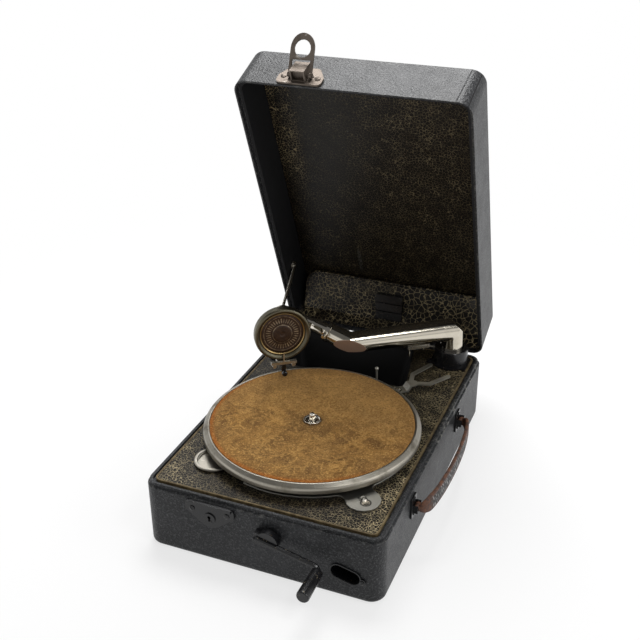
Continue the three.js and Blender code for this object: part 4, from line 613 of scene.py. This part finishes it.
def turnedPoints(profile, segments):
    # Radius and height of the profile, carried round +Z: (r cos a, r sin a, h).
    profile = np.asarray(profile, float)
    angle = np.linspace(0, 2 * np.pi, segments, endpoint=False)[None, :]
    radius, height = profile[:, :1], profile[:, 1:2]
    return np.stack([radius * np.cos(angle), radius * np.sin(angle), height + 0 * angle], -1)


def roundedRing(width, length, radius, steps=12):
    # Four quarter arcs about the corner centres of a rectangle; width, length and radius may be columns.
    quarter = np.arange(4).repeat(steps + 1)
    angle = (quarter + np.tile(np.linspace(0, 1, steps + 1), 4)) * np.pi / 2
    signX, signY = np.array([1, -1, -1, 1])[quarter], np.array([1, 1, -1, -1])[quarter]
    x = signX * (width / 2 - radius) + radius * np.cos(angle)
    y = signY * (length / 2 - radius) + radius * np.sin(angle)
    return x, y


def wallPoints(section, width, length, corner):
    # A section of inset and height, carried round a rounded rectangle whose corner shrinks with the inset.
    inset, height = np.asarray(section, float)[:, :1], np.asarray(section, float)[:, 1:2]
    radius = np.maximum(corner - inset, corner / 4)
    x, y = roundedRing(width - 2 * inset, length - 2 * inset, radius)
    return np.stack([x, y, height + 0 * x], -1)


def tubePoints(path, radius, segments, side=(0, 0, 1)):
    # A circle square to the path at each point: centre + r (cos a) first + r (sin a) second.
    path = np.asarray(path, float)
    ahead = unit(np.gradient(path, axis=0))
    second = unit(np.cross(ahead, side))
    first = np.cross(second, ahead)
    angle = np.linspace(0, 2 * np.pi, segments, endpoint=False)[None, :, None]
    reach = np.broadcast_to(np.asarray(radius, float), len(path))[:, None, None]
    return path[:, None] + reach * (np.cos(angle) * first[:, None] + np.sin(angle) * second[:, None])


def smoothPath(points, steps):
    # Centripetal spline: each stretch blends lines whose knots are the square roots of the distances.
    points = np.asarray(points, float)
    points = np.concatenate([2 * points[:1] - points[1:2], points, 2 * points[-1:] - points[-2:-1]])
    gaps = np.linalg.norm(np.diff(points, axis=0), axis=1) ** 0.5
    knots = np.concatenate([[0], np.cumsum(gaps)])
    t0, t1, t2, t3 = (knots[i:len(knots) - 3 + i, None, None] for i in range(4))
    p0, p1, p2, p3 = (points[i:len(points) - 3 + i, None, :] for i in range(4))
    t = t1 + (t2 - t1) * np.linspace(0, 1, steps, endpoint=False)[None, :, None]
    a1 = (t1 - t) / (t1 - t0) * p0 + (t - t0) / (t1 - t0) * p1
    a2 = (t2 - t) / (t2 - t1) * p1 + (t - t1) / (t2 - t1) * p2
    a3 = (t3 - t) / (t3 - t2) * p2 + (t - t2) / (t3 - t2) * p3
    b1 = (t2 - t) / (t2 - t0) * a1 + (t - t0) / (t2 - t0) * a2
    b2 = (t3 - t) / (t3 - t1) * a2 + (t - t1) / (t3 - t1) * a3
    curve = (t2 - t) / (t2 - t1) * b1 + (t - t1) / (t2 - t1) * b2
    return np.concatenate([curve.reshape(-1, 3), points[-2:-1]])


def gridFaces(rows, cols, loopRows, loopCols, capped):
    # Four corners of each cell of the grid; the end rows may close with one face each.
    index = np.arange(rows * cols).reshape(rows, cols)
    upper, lower = (index, np.roll(index, -1, 0)) if loopRows else (index[:-1], index[1:])
    if loopCols:
        corners = [upper, np.roll(upper, -1, 1), np.roll(lower, -1, 1), lower]
    else:
        corners = [upper[:, :-1], upper[:, 1:], lower[:, 1:], lower[:, :-1]]
    faces = np.stack(corners, -1).reshape(-1, 4).tolist()
    return faces + ([index[0][::-1].tolist(), index[-1].tolist()] if capped else [])


doubled = 0.002 * mm  # points closer than this are one


def tidied(mesh, sharp=40, outward=True):
    # Merges doubled points, drops empty faces, turns faces outwards and marks edges sharper than the angle.
    work = bmesh.new()
    work.from_mesh(mesh)
    bmesh.ops.remove_doubles(work, verts=work.verts, dist=doubled)
    bmesh.ops.dissolve_degenerate(work, dist=doubled, edges=work.edges)
    if outward:
        bmesh.ops.recalc_face_normals(work, faces=work.faces)
    for face in work.faces:
        face.smooth = True
    limit = math.radians(sharp)
    for edge in work.edges:
        edge.smooth = len(edge.link_faces) == 2 and edge.calc_face_angle(0) < limit
    work.to_mesh(mesh)
    work.free()


def placed(name, mesh, finish):
    piece = bpy.data.objects.new(name, mesh)
    bpy.context.collection.objects.link(piece)
    mesh.materials.append(finish)
    return piece


def addPiece(name, points, finish, loopRows=False, loopCols=True, capped=False, sharp=40):
    # A mesh from a grid of points in millimetres, by rows; either way of the grid may close on itself.
    mesh = bpy.data.meshes.new(name)
    faces = gridFaces(*points.shape[:2], loopRows, loopCols, capped)
    mesh.from_pydata((points.reshape(-1, 3) * mm).tolist(), [], faces)
    tidied(mesh, sharp)
    return placed(name, mesh, finish)


def settle(piece, *nodes):  # the piece stands for these nodes and rides with them; the nodes are hidden
    body = next(body for body, held in frame["record"]["behaviour"]["bodies"].items() if nodes[0] in held)
    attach(piece, body)
    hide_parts(*nodes)
    piece.modifiers.new("evenShading", "WEIGHTED_NORMAL").keep_sharp = True


def cutAway(piece, cutter):  # the cut is written into the piece's mesh
    hole = piece.modifiers.new("opening", "BOOLEAN")
    hole.operation, hole.solver, hole.object = "DIFFERENCE", "EXACT", cutter
    graph = bpy.context.evaluated_depsgraph_get()
    mesh = bpy.data.meshes.new_from_object(piece.evaluated_get(graph))
    piece.modifiers.clear()
    piece.data = mesh
    bpy.data.objects.remove(cutter)
    tidied(mesh)


def broken(piece, edge, segments, sharp):  # a bevel on the edges sharper than the angle
    soft = piece.modifiers.new("brokenEdges", "BEVEL")
    soft.width, soft.segments, soft.limit_method = edge * mm, segments, "ANGLE"
    soft.angle_limit = math.radians(sharp)
    return soft


def edgedCopy(node, finish, edge=0.35, sharp=32):
    # A fitting's own solid, its triangles joined to whole faces, with its edges broken.
    name = node + "Edged"
    mesh = bpy.data.meshes.new(name)
    work = bmesh.new()
    work.from_mesh(frame["nodes"][node].data)
    bmesh.ops.remove_doubles(work, verts=work.verts, dist=doubled)
    bmesh.ops.dissolve_limit(work, angle_limit=math.radians(0.4), verts=work.verts, edges=work.edges)
    work.to_mesh(mesh)
    work.free()
    tidied(mesh, sharp, outward=False)
    piece = placed(name, mesh, finish)
    if edge:
        broken(piece, edge, 2, sharp).miter_outer = "MITER_ARC"
    settle(piece, node)


def paint(finish, *nodes):  # a node that keeps its own shape gets its finish
    for node in nodes:
        solid = frame["nodes"][node]
        solid.data.materials.clear()
        solid.data.materials.append(finish)


# Case

case = {
    "width": 279.0, "length": 410.4, "corner": 17.0, "height": 79.3, "wall": 12.0, "foot": 6.0,
    "step": 2.4, "lip": 3.9, "lipRise": 4.4, "ledge": 80.3, "topEdge": 1.3, "lipEdge": 0.9,
    "lipFoot": 0.5, "throughCut": 30.0, "crankBore": (15.0, 55.0, 4.8, 4.8, 0.0),
    "storeBore": (99.9, 32.1, 17.6, 9.2, -14.0),  # place across and up, half width, half height and tilt
}


def frontBore(name, x, z, halfWidth, halfHeight, tilt):
    # A rod through the front wall whose ends are half circles of the half height, turned by the tilt.
    across, up = roundedRing(2 * halfWidth, 2 * halfHeight, halfHeight)
    lean = math.radians(tilt)
    depth = np.array([-1.0, 1.0])[:, None] * case["throughCut"] - case["length"] / 2
    side = across * math.cos(lean) - up * math.sin(lean)
    rise = across * math.sin(lean) + up * math.cos(lean)
    points = np.stack(np.broadcast_arrays(x + side, depth, z + rise), -1)
    return addPiece(name, points, None, capped=True)


def caseCovering(finish):
    # The wall's section, from foot to lip, carried round the case; the covering turns in under the foot.
    lipTop = case["height"] + case["lipRise"]
    lipIn = case["step"] + case["lip"]
    section = softened([
        (0, 0), (0, case["height"]), (case["step"], case["height"]), (case["step"], lipTop),
        (lipIn, lipTop), (lipIn, case["ledge"]), (case["wall"], case["ledge"]), (case["wall"], 0),
    ], (case["foot"], case["topEdge"], case["lipFoot"], case["lipEdge"], case["lipEdge"], 0, 0, 0), 6)
    points = wallPoints(section, case["width"], case["length"], case["corner"])
    covering = addPiece("caseCovering", points, finish, loopRows=True)
    for bore in ("crankBore", "storeBore"):
        cutAway(covering, frontBore(bore, *case[bore]))
    settle(covering, "case_shell")


def lidCovering(finish):
    # The section of wall and top, drawn shut and carried round the lid, then turned open about the hinge.
    top, rim, inset = lid["rim"] + lid["depth"], lid["rim"], lid["topInset"]
    inside, rebate = top - lid["top"], rim + lid["rebate"]
    section = softened([
        (inset, top), (0, top), (0, rim), (lid["skin"], rim), (lid["skin"], rebate),
        (lid["wall"], rebate + lid["rebateDrop"]), (lid["wall"], inside), (inset, inside),
    ], lid["rounds"], 8, closed=False)
    points = lidOpened(wallPoints(section, lid["width"], lid["length"], lid["corner"]))
    settle(addPiece("lidCovering", points, finish, capped=True), "lid_shell")


# Turntable

turntable = {
    "y": -53.0, "rim": 127.0, "sheet": 1.6, "lip": 119.8, "seat": 103.2, "skirtTop": 100.6,
    "skirtLow": 94.6, "hub": 16.0, "hubLow": 90.0, "hole": 6.0, "slope": 1.0, "rimRise": 0.6,
    "lipDrop": 0.3, "lipInDrop": 0.5,
    "dishRounds": (0.5, 0.8, 2, 1, 1.5, 0.7, 0.7, 2.6, 1.2, 0.4, 0.3, 0.5), "feltRadius": 119.5,
    "feltTop": 105.5, "feltThick": 2.0, "feltHole": 10.8, "feltDrop": 0.14, "feltEdge": 1.2,
    "feltEdgeDrop": 0.7, "feltHoleEdge": 0.8, "feltHoleDrop": 0.5,
    "swells": ((0.07, 9.0, 2), (0.06, 4.3, -3)),  # height, length along the radius, waves round
    "wanders": ((0.10, 31, 0), (0.08, 57, 1), (0.06, 97, 2)),  # depth, waves round, where they start
    "pin": 3.55, "pinTop": 115.2, "pinLow": 24.8, "pinTip": 0.72, "pinShoulder": 2.2, "tipDrop": 0.3,
    "pinRounds": (0, 0.3, 1.0, 1.0, 0), "washer": 10.2, "washerGap": 0.3, "washerWall": 1.2,
    "washerRise": 3.4, "washerStep": 2.2, "washerDish": 1.5,
    "washerRounds": (0.2, 0.4, 0.6, 0.6, 1.2, 0.8, 0.3),
}


def onTurntable(points):
    return points + np.array([0, turntable["y"], 0])


def platterDish(finish):
    # The section of the pressed sheet, from the hub out to the rim and back, carried round the spindle.
    size = turntable
    seat, sheet, lip, rim, skirt = (size[key] for key in ("seat", "sheet", "lip", "rim", "skirtTop"))
    section = softened([
        (size["hole"], size["hubLow"]), (size["hub"], size["hubLow"]), (size["hub"], seat - sheet),
        (lip, seat - sheet - size["slope"]), (rim - sheet, skirt - sheet), (rim - sheet, size["skirtLow"]),
        (rim, size["skirtLow"]), (rim, skirt + size["rimRise"]),
        (lip + sheet, size["feltTop"] - size["lipDrop"]), (lip, size["feltTop"] - size["lipInDrop"]),
        (lip, seat), (size["hole"], seat),
    ], size["dishRounds"], 5)
    points = onTurntable(turnedPoints(section, 180))
    settle(addPiece("platterDish", points, finish, loopRows=True), "platter")


def feltDisc(finish):
    # Rings of the mat's section; the top swells by slow waves and the cut edge wanders by fine ones.
    size = turntable
    hole, rim, high = size["feltHole"], size["feltRadius"], size["feltTop"]
    low = high - size["feltThick"]
    across = np.linspace(hole + size["feltHoleEdge"], rim - size["feltEdge"], 40)
    section = np.concatenate([
        [(hole, low), (hole, high - size["feltHoleDrop"])], np.stack([across, high + 0 * across], -1),
        [(rim, high - size["feltEdgeDrop"]), (rim, low)],
    ])
    points = turnedPoints(section, 240)
    angle, radius = np.arctan2(points[..., 1], points[..., 0]), np.hypot(points[..., 0], points[..., 1])
    wander = sum(deep * np.sin(waves * angle + start) for deep, waves, start in size["wanders"])
    wander = wander - sum(deep for deep, waves, start in size["wanders"])
    edge = np.clip((radius - rim + 2) / 2, 0, 1)
    points[..., :2] *= (1 + edge * wander / radius)[..., None]
    swell = sum(rise * np.sin(radius / length + waves * angle) for rise, length, waves in size["swells"])
    points[..., 2] += np.where(points[..., 2] > high - 0.1, swell - size["feltDrop"], 0)
    mat = addPiece("feltDisc", onTurntable(points), finish, loopRows=True)
    settle(mat, "felt_mat")


def spindlePin(finish):
    # A straight pin with a blunt tip, turned.
    size = turntable
    pin, high = size["pin"], size["pinTop"]
    section = softened([
        (0, size["pinLow"]), (pin, size["pinLow"]), (pin, high - size["pinShoulder"]),
        (pin * size["pinTip"], high - size["tipDrop"]), (0, high),
    ], size["pinRounds"], 6, closed=False)
    settle(addPiece("spindlePin", onTurntable(turnedPoints(section, 48)), finish), "spindle")


def washerCup(finish):
    # A shallow ring, dished towards the pin, turned.
    size, low = turntable, turntable["feltTop"] - turntable["feltThick"]
    inner, outer, wall = size["pin"] + size["washerGap"], size["washer"], size["washerWall"]
    high, step = low + size["washerRise"], low + size["washerStep"]
    section = softened([
        (inner, low), (outer, low), (outer, high), (outer - wall, high), (outer - 2 * wall, step),
        (inner + wall, low + size["washerDish"]), (inner, step),
    ], size["washerRounds"], 5)
    points = onTurntable(turnedPoints(section, 72))
    settle(addPiece("washerCup", points, finish, loopRows=True), "spindle_washer")


# Tonearm

arm = {
    "x": 104.0, "y": 174.5, "level": 133.0, "low": 88.0, "riser": 15.0, "bendX": -8.7, "bendY": 90.4,
    "bend": 13.6, "stub": 12.0, "stubLength": 27.0, "way": (-0.955, 0.06, 0.28), "cornerFacet": 8.0,
    "facet": 6.1, "edge": 0.5, "sharp": 14, "gap": 0.6, "ring": 5.0, "sleeve": 9.6, "sleeveEnd": 8.0,
    "sleeveLength": 20.0, "tube": 7.0, "sleeveRound": (0.7, 0.1), "elbow": (-101.0, 92.0, 161.0),
    "elbowShare": 0.35,
}
soundBox = {
    "centre": (-73.2, 27.7, 165.0), "azimuth": 36.0, "radius": 35.0, "ringInner": 28.6, "front": 6.0,
    "back": 6.0, "shell": 32.0, "shellBack": 11.0, "shellSlope": 2.4, "boss": 9.0, "bossBack": 15.0,
    "brass": 26.4, "brassFront": 2.6, "face": 26.1, "faceFront": 1.4, "faceBack": 0.8, "faceEdge": 0.5,
    "gap": 0.3,
    "dish": (25.3, 12.6, 0.25),  # outer and inner radius of the face's hollow and half its depth
    "button": ((12.2, 0), (11.2, 0.9), (9.0, 1.1), (3.4, 1.2), (2.6, 0.7), (0, 0.6)),  # radius and rise
    "backRounds": (0, 1.2, 1.5, 1.5, 1.5, 0.4, 0, 0, 0),
    "ringRounds": (0.3, 0.8, 1.5, 2.2, 2.0, 1.6, 0.8),
}


armCorner = np.array([arm["x"], arm["y"], arm["level"]])
armBend = np.array([arm["bendX"], arm["bendY"], arm["level"]])
alongArm, alongNeck = unit(armBend - armCorner), unit(arm["way"])
boxAngle = math.radians(soundBox["azimuth"])
facing = np.array([math.sin(boxAngle), -math.cos(boxAngle), 0])


def cleanCut(mesh, point, way):
    # Slices a closed mesh with a plane and closes it with one flat face.
    work = bmesh.new()
    work.from_mesh(mesh)
    everything = work.verts[:] + work.edges[:] + work.faces[:]
    plane = {"plane_co": Vector(point * mm), "plane_no": Vector(way)}
    cut = bmesh.ops.bisect_plane(work, geom=everything, dist=1e-6, clear_outer=True, **plane)
    rim = [item for item in cut["geom_cut"] if isinstance(item, bmesh.types.BMEdge)]
    bmesh.ops.edgeloop_fill(work, edges=rim)
    work.to_mesh(mesh)
    work.free()


def tonearmTube(finish):
    # Circles at the two ends and at each bend, where they lean into the plane between the two runs.
    path = np.array([
        [arm["x"], arm["y"], arm["low"]], armCorner, armBend, armBend + alongNeck * arm["stubLength"],
    ])
    radii = [arm["riser"], arm["riser"], arm["bend"], arm["stub"]]
    ways = [unit(path[i + 1] - path[i]) for i in range(3)]
    second = unit(np.cross(ways[0], (0, 1, 0)))
    first = np.cross(second, ways[0])
    angle = np.linspace(0, 2 * np.pi, 72, endpoint=False)[:, None]
    spokes = np.cos(angle) * first + np.sin(angle) * second
    rings = []
    for i, centre in enumerate(path):
        way, after = ways[max(i - 1, 0)], ways[min(i, 2)]
        out = spokes * radii[i]
        out = out - (out @ (way + after) / (way @ (way + after)))[:, None] * way
        spokes = unit(out - (out @ after)[:, None] * after)
        rings.append(centre + out)
    tube = addPiece("tonearmTube", np.array(rings), finish, capped=True, sharp=arm["sharp"])
    away, outer = unit(np.array([0, 0, 1]) - alongArm), unit(alongArm - alongNeck)
    cleanCut(tube.data, armCorner + away * arm["cornerFacet"], away)
    cleanCut(tube.data, armBend + outer * arm["facet"], outer)
    tidied(tube.data, arm["sharp"])
    broken(tube, arm["edge"], 3, arm["sharp"])
    settle(tube, "tonearm_tube")


def neckPipe(finish):
    # The socket's cone and the thinner pipe are one surface: the radius falls over a short shoulder.
    start = arm["stubLength"] + arm["gap"] + arm["ring"]
    end, elbow, share = start + arm["sleeveLength"], np.array(arm["elbow"]), arm["elbowShare"]
    sleeveEnd = armBend + alongNeck * end
    entry = np.array(soundBox["centre"]) - facing * (soundBox["bossBack"] + soundBox["gap"])
    curve = smoothPath([
        sleeveEnd + alongNeck * arm["gap"], elbow * share + sleeveEnd * (1 - share), elbow,
        entry - facing * arm["tube"] * 3, entry - facing * arm["tube"] / 2, entry,
    ], 12)
    cone = np.linspace(start, end, 9)[:, None]
    fall = np.concatenate([arm["sleeveRound"], [0] * 5, arm["sleeveRound"][::-1]])
    sleeve = np.linspace(arm["sleeve"], arm["sleeveEnd"], 9) - fall
    path = np.concatenate([armBend + alongNeck * cone, curve])
    radius = np.concatenate([sleeve, np.full(len(curve), arm["tube"])])
    settle(addPiece("neckPipe", tubePoints(path, radius, 48), finish, capped=True), "gooseneck")


def onSoundBox(points):  # stands points drawn about +Z on the axis of the sound box
    right, up = np.cross((0, 0, 1), facing), np.array([0, 0, 1.0])
    return points[..., :1] * right + points[..., 1:2] * up + points[..., 2:] * facing + soundBox["centre"]


def soundBoxPieces(castFinish, brassFinish, faceFinish):
    # Four profiles of radius and distance in front of the middle, carried round the axis of the sound box.
    size = soundBox
    gap, inner, outer, front, back = (size[key] for key in ("gap", "ringInner", "radius", "front", "back"))
    shell, slope, shellBack = size["shell"], size["shellSlope"], size["shellBack"]
    bossBack, faceBack, faceFront = size["bossBack"], size["faceBack"], size["faceFront"]
    brass, brassFront = size["brass"], size["brassFront"]
    backShell = softened([
        (0, -bossBack), (size["boss"], -bossBack), (size["boss"], -shellBack), (shell - slope, -shellBack),
        (shell, -shellBack + slope), (shell, -back - gap), (inner - gap, -back - gap),
        (inner - gap, -faceBack - gap), (0, -faceBack - gap),
    ], size["backRounds"], 5, closed=False)
    ring = softened([
        (inner, -back), (outer - 0.6, -back), (outer, -back + 2), (outer, front - 1.6), (outer - 2, front),
        (inner + 2.2, front - 0.4), (inner, front - 2.6),
    ], size["ringRounds"], 6)
    bezel = softened([
        (brass, -faceBack), (inner - gap, -faceBack), (inner - gap, brassFront),
        (inner - gap * 3, brassFront + gap), (brass, brassFront - gap * 2),
    ], 0.5, 4)
    dishOuter, dishInner, hollow = size["dish"]
    across = np.linspace(dishOuter, dishInner, 12)
    dish = hollow * np.cos((across - dishInner) / (dishOuter - dishInner) * 2 * np.pi) - hollow
    face = np.concatenate([
        [(0, -faceBack), (size["face"], -faceBack), (size["face"], faceFront - size["faceEdge"])],
        np.stack([across, faceFront + dish], -1),
        softened([(radius, faceFront + rise) for radius, rise in size["button"]], 0.7, 4, closed=False),
    ])
    for name, node, profile, finish, looped, segments in [
        ("soundBoxBack", "sound_box_shell", backShell, castFinish, False, 96),
        ("soundBoxRing", "sound_box_ring", ring, castFinish, True, 128),
        ("soundBoxBezel", "sound_box_bezel", bezel, brassFinish, True, 128),
        ("soundBoxFace", "sound_box_face", face, faceFinish, False, 96),
    ]:
        points = onSoundBox(turnedPoints(profile, segments))
        settle(addPiece(name, points, finish, loopRows=looped), node)


# Handle

strap = {
    "level": 59.0, "front": -104.0, "back": 78.0, "out": 145.7, "eye": 3.6, "bow": 17.0, "thick": 5.0,
    "wide": 22.0, "endWide": 9.0, "pin": 2.3, "eyeLength": 10.0, "eyeRounds": (0.2, 0.9, 0.9, 0.2),
    "arch": 0.8, "flat": 0.35,
    "bulge": 0.6, "channel": (0.2, 0.7, 0.12, 0.95),  # depth, place, width and end of the groove by each edge
    "crease": (0.22, 1.35, 9.0, 1.4, 0.62),  # depth, step, length of its wander, slant and width
}


def strapHandle(finish):
    # Out from the wall by bow * cos(a)^arch, along it by sin(a); the section is flat with two rolled edges.
    middle, half = (strap["front"] + strap["back"]) / 2, (strap["back"] - strap["front"]) / 2
    angle = np.linspace(-np.pi / 2, np.pi / 2, 140)
    rise = (strap["bow"] - strap["eye"] / 2) * np.maximum(np.cos(angle), 0) ** strap["arch"]
    out = strap["out"] + strap["eye"] / 2 + rise
    path = np.stack([out, middle + half * np.sin(angle), np.full_like(angle, strap["level"])], -1)
    ahead = unit(np.gradient(path, axis=0))
    outward = np.stack([-ahead[:, 1], ahead[:, 0], 0 * ahead[:, 0]], -1)
    outward *= np.where(outward[:, :1] < 0, -1.0, 1.0)
    middling = np.sin(np.linspace(0, 1, len(path)) * np.pi)[:, None]  # 0 at the ends, 1 halfway along
    width = strap["endWide"] + (strap["wide"] - strap["endWide"]) * np.minimum(1, middling * 2)
    turn = np.linspace(0, 2 * np.pi, 72, endpoint=False)[None, :]
    across = np.abs(np.cos(turn)) ** strap["flat"] * np.sign(np.cos(turn))
    bulge = np.abs(np.sin(turn)) ** strap["bulge"] * np.sign(np.sin(turn))
    grooveDeep, grooveAt, grooveWide, grooveEnd = strap["channel"]
    groove = np.exp(-((np.abs(across) - grooveAt) / grooveWide) ** 2) * (np.abs(across) < grooveEnd)
    creaseDeep, step, wander, slant, creaseWide = strap["crease"]
    along = path[:, 1:2]
    creases = creaseDeep * np.sin(along / step + 3 * np.sin(along / wander) + across * slant)
    creases = creases * np.exp(-(across / creaseWide) ** 4) * (np.sin(turn) > 0) * middling
    deep = strap["thick"] / 2 * bulge * (1 - grooveDeep * groove) - np.abs(creases)
    high = across * width / 2
    points = path[:, None] + outward[:, None] * deep[..., None] + np.array([0, 0, 1.0]) * high[..., None]
    handle = addPiece("strapHandle", points, finish, capped=True, sharp=60)
    pin, eye, halfLong = strap["pin"], strap["eye"], strap["eyeLength"] / 2
    section = [(pin, -halfLong), (eye, -halfLong), (eye, halfLong), (pin, halfLong)]
    ring = turnedPoints(softened(section, strap["eyeRounds"]), 40)
    loops = []
    for y in (strap["front"], strap["back"]):
        points = np.stack([ring[..., 0] + strap["out"], ring[..., 2] + y, ring[..., 1] + strap["level"]], -1)
        loops.append(addPiece("strapEye", points, finish, loopRows=True))
    joined(handle, loops)
    settle(handle, "handle_strap")


def joined(piece, others):  # others become part of the piece's mesh
    work = bmesh.new()
    for item in [piece, *others]:
        work.from_mesh(item.data)
    work.to_mesh(piece.data)
    work.free()
    for item in others:
        bpy.data.objects.remove(item)


# Making

print("finishes")
finishes = {
    "caseCloth": caseCloth(), "lidCloth": lidCloth(), "deck": deckEnamel(), "lining": liningEnamel(),
    "deflector": deflectorEnamel(), "felt": feltNap(), "chamber": blackChamber(), "board": bareBoard(),
    "enamel": enamelled("wornEnamel", enamelLook["worn"], enamelLook["rust"]),
    "grip": enamelled("gripEnamel", enamelLook["gripWorn"], enamelLook["gripRust"]),
    "face": facePlate(), "leather": strapLeather(), **{name: plated(name) for name in metals},
}

print("case and lid")
caseCovering(finishes["caseCloth"])
lidCovering(finishes["lidCloth"])
for finish, nodes in {"board": ["bottom_board"], "deck": ["motor_board"], "lining": ["lid_lining"],
                      "chamber": ["sound_chamber", "horn_throat"]}.items():
    paint(finishes[finish], *nodes)
edgedCopy("sound_deflector", finishes["deflector"], 0.3, 40)
edgedCopy("deflector_block", finishes["enamel"], 0.8)
for node in ("latch_keeper", "crank_rose", "crank_store", "handle_bracket_front", "handle_bracket_back"):
    edgedCopy(node, finishes["enamel"], 0.6)
for node in ("latch_plate", "latch_hasp"):
    edgedCopy(node, finishes["pinkNickel"])
for node in ("hinge_left_case", "hinge_right_case", "hinge_left_lid", "hinge_right_lid", "stay_pin",
             "lid_stay"):
    edgedCopy(node, finishes["dullNickel"], 0.25)

print("turntable and motor")
platterDish(finishes["platterNickel"])
feltDisc(finishes["felt"])
spindlePin(finishes["brightNickel"])
washerCup(finishes["brightNickel"])
edgedCopy("motor_plate", fastened("plateSteel", *fasteners["motorPlate"]), 0.3)
paint(finishes["motorSteel"], "motor_frame", "governor_post_front", "governor_post_back", "spring_barrel",
      "winding_wheel")
paint(finishes["brass"], "idler_wheel", "governor")
edgedCopy("crank_hub", finishes["enamel"], 0.7)
edgedCopy("crank_arm", finishes["grip"], 0)
edgedCopy("crank_grip", finishes["grip"], 0.5)

print("tonearm and sound box")
tonearmTube(armPlating())
neckPipe(finishes["brightNickel"])
soundBoxPieces(finishes["castAlloy"], finishes["bezelBrass"], finishes["face"])
edgedCopy("tonearm_base", finishes["enamel"])
for node in ("swivel_ring", "trip_clamp"):
    edgedCopy(node, finishes["brightNickel"], 0.4)
edgedCopy("stylus_bar", finishes["dullNickel"], 0.3)
for node in ("needle_holder", "needle_screw"):
    edgedCopy(node, finishes["enamel"], 0.2)
paint(finishes["motorSteel"], "needle")

print("deck fittings and handle")
edgedCopy("brake_fork", fastened("forkSteel", *fasteners["brakeFork"]), 0.3)
edgedCopy("brake_post", finishes["greySteel"], 0.2)
edgedCopy("needle_cup", finishes["dullNickel"])
strapHandle(finishes["leather"])


# Setting

setting = {
    "floor": (0.93, 0.93, 0.93, 1.0), "floorBounce": (0.42, 0.42, 0.42, 1.0), "floorSize": 8.0,
    "floorDrop": 0.0004, "white": (1, 1, 1, 1), "eye": (0.375857, -0.945465, 0.742749), "lens": 55.72,
    "sensor": 36.0, "right": (0.92620722, 0.37698976, -0.00434876),
    "up": (-0.17106878, 0.43051334, 0.88622443), "back": (0.33596973, -0.82008353, 0.46323574),
    "fill": 0.3, "mirrored": 0.85, "lineAt": 0.1, "lineHalf": 0.07, "ceiling": (0.42, 0.62),
    "ceilingDark": 0.84,
}
lamps = {  # place, aim, size and power
    "overhead": ((-0.25, 0.75, 1.75), (0, 0, 0.2), 1.1, 33),
    "frontRight": ((0.95, -0.5, 1.55), (0, 0, 0.1), 0.34, 4),
    "leftFill": ((-1.7, -0.9, 0.8), (0, 0, 0.2), 1.0, 2),
    "rightFill": ((1.7, 0.1, 1.0), (0, 0, 0.2), 1.0, 8),
}


def paleFloor():
    # White where the camera looks past the object, with its shadow close by; it throws little light back.
    side = np.array([-0.5, 0.0, 0.5]) * setting["floorSize"]
    x, y = np.meshgrid(side, side)
    finish = Finish("floorPaper", Roughness=0.9, Specular_IOR_Level=0.1)
    points = np.stack([x, y, 0 * x - setting["floorDrop"]], -1) / mm
    floor = addPiece("paleFloor", points, finish.material, loopCols=False)
    seen = finish.rays("Is Camera Ray", "Is Glossy Ray", "Is Transmission Ray")
    finish.wire(Base_Color=finish.blend(seen, setting["floorBounce"], setting["floor"]))
    distance = finish.vector("LENGTH", finish.at, output="Value")
    share = seen * (distance.ramp(0.3, 0.95) * 0.3 + 0.7)
    white = finish.node("ShaderNodeEmission", {}, {"Color": setting["white"]})
    shader = Wire(finish, finish.shader.outputs["BSDF"])
    mixed = finish.node("ShaderNodeMixShader", {}, {0: share, 1: shader, 2: white})
    finish.tree.links.new(mixed.socket, finish.tree.nodes["Material Output"].inputs["Surface"])


def paleWorld():
    # White behind the object; metal mirrors white walls with a darker line low down, under a dark ceiling.
    world = bpy.data.worlds.new("paleWorld")
    world.use_nodes = True
    bpy.context.scene.world = world
    sky = NodeMaker(world.node_tree)
    height = sky.axes(sky.node("ShaderNodeTexCoord", {}, {}, "Generated"))[2]
    line = height.near(setting["lineAt"], setting["lineHalf"])
    ceiling = height.ramp(*setting["ceiling"]) * setting["ceilingDark"]
    walls = (1 - ceiling) * (1 - line * 0.5) * setting["mirrored"]
    glossy = sky.rays("Is Glossy Ray")
    light = sky.maths("MAXIMUM", walls * glossy, (1 - glossy) * setting["fill"])
    strength = sky.maths("MAXIMUM", sky.rays("Is Camera Ray", "Is Transmission Ray"), light)
    background = sky.tree.nodes["Background"].inputs
    sky.tree.links.new(strength.socket, background["Strength"])
    background["Color"].default_value = setting["white"]


def softLamp(name, place, aim, size, power):
    light = bpy.data.lights.new(name, "AREA")
    light.shape, light.size, light.energy = "SQUARE", size, power
    lamp = bpy.data.objects.new(name, light)
    lamp.location = place
    lamp.rotation_euler = (Vector(aim) - Vector(place)).to_track_quat("-Z", "Y").to_euler()
    bpy.context.collection.objects.link(lamp)


def photoCamera():
    view = bpy.data.cameras.new("photoCamera")
    view.lens, view.sensor_width = setting["lens"], setting["sensor"]
    camera = bpy.data.objects.new("photoCamera", view)
    turn = Matrix([setting[key] for key in ("right", "up", "back")]).transposed().to_4x4()
    camera.matrix_world = Matrix.Translation(setting["eye"]) @ turn
    bpy.context.collection.objects.link(camera)
    bpy.context.scene.camera = camera


print("setting")
paleFloor()
paleWorld()
for name, lamp in lamps.items():
    softLamp(name, *lamp)
photoCamera()
bpy.context.scene.view_settings.view_transform = "Standard"

print("done")
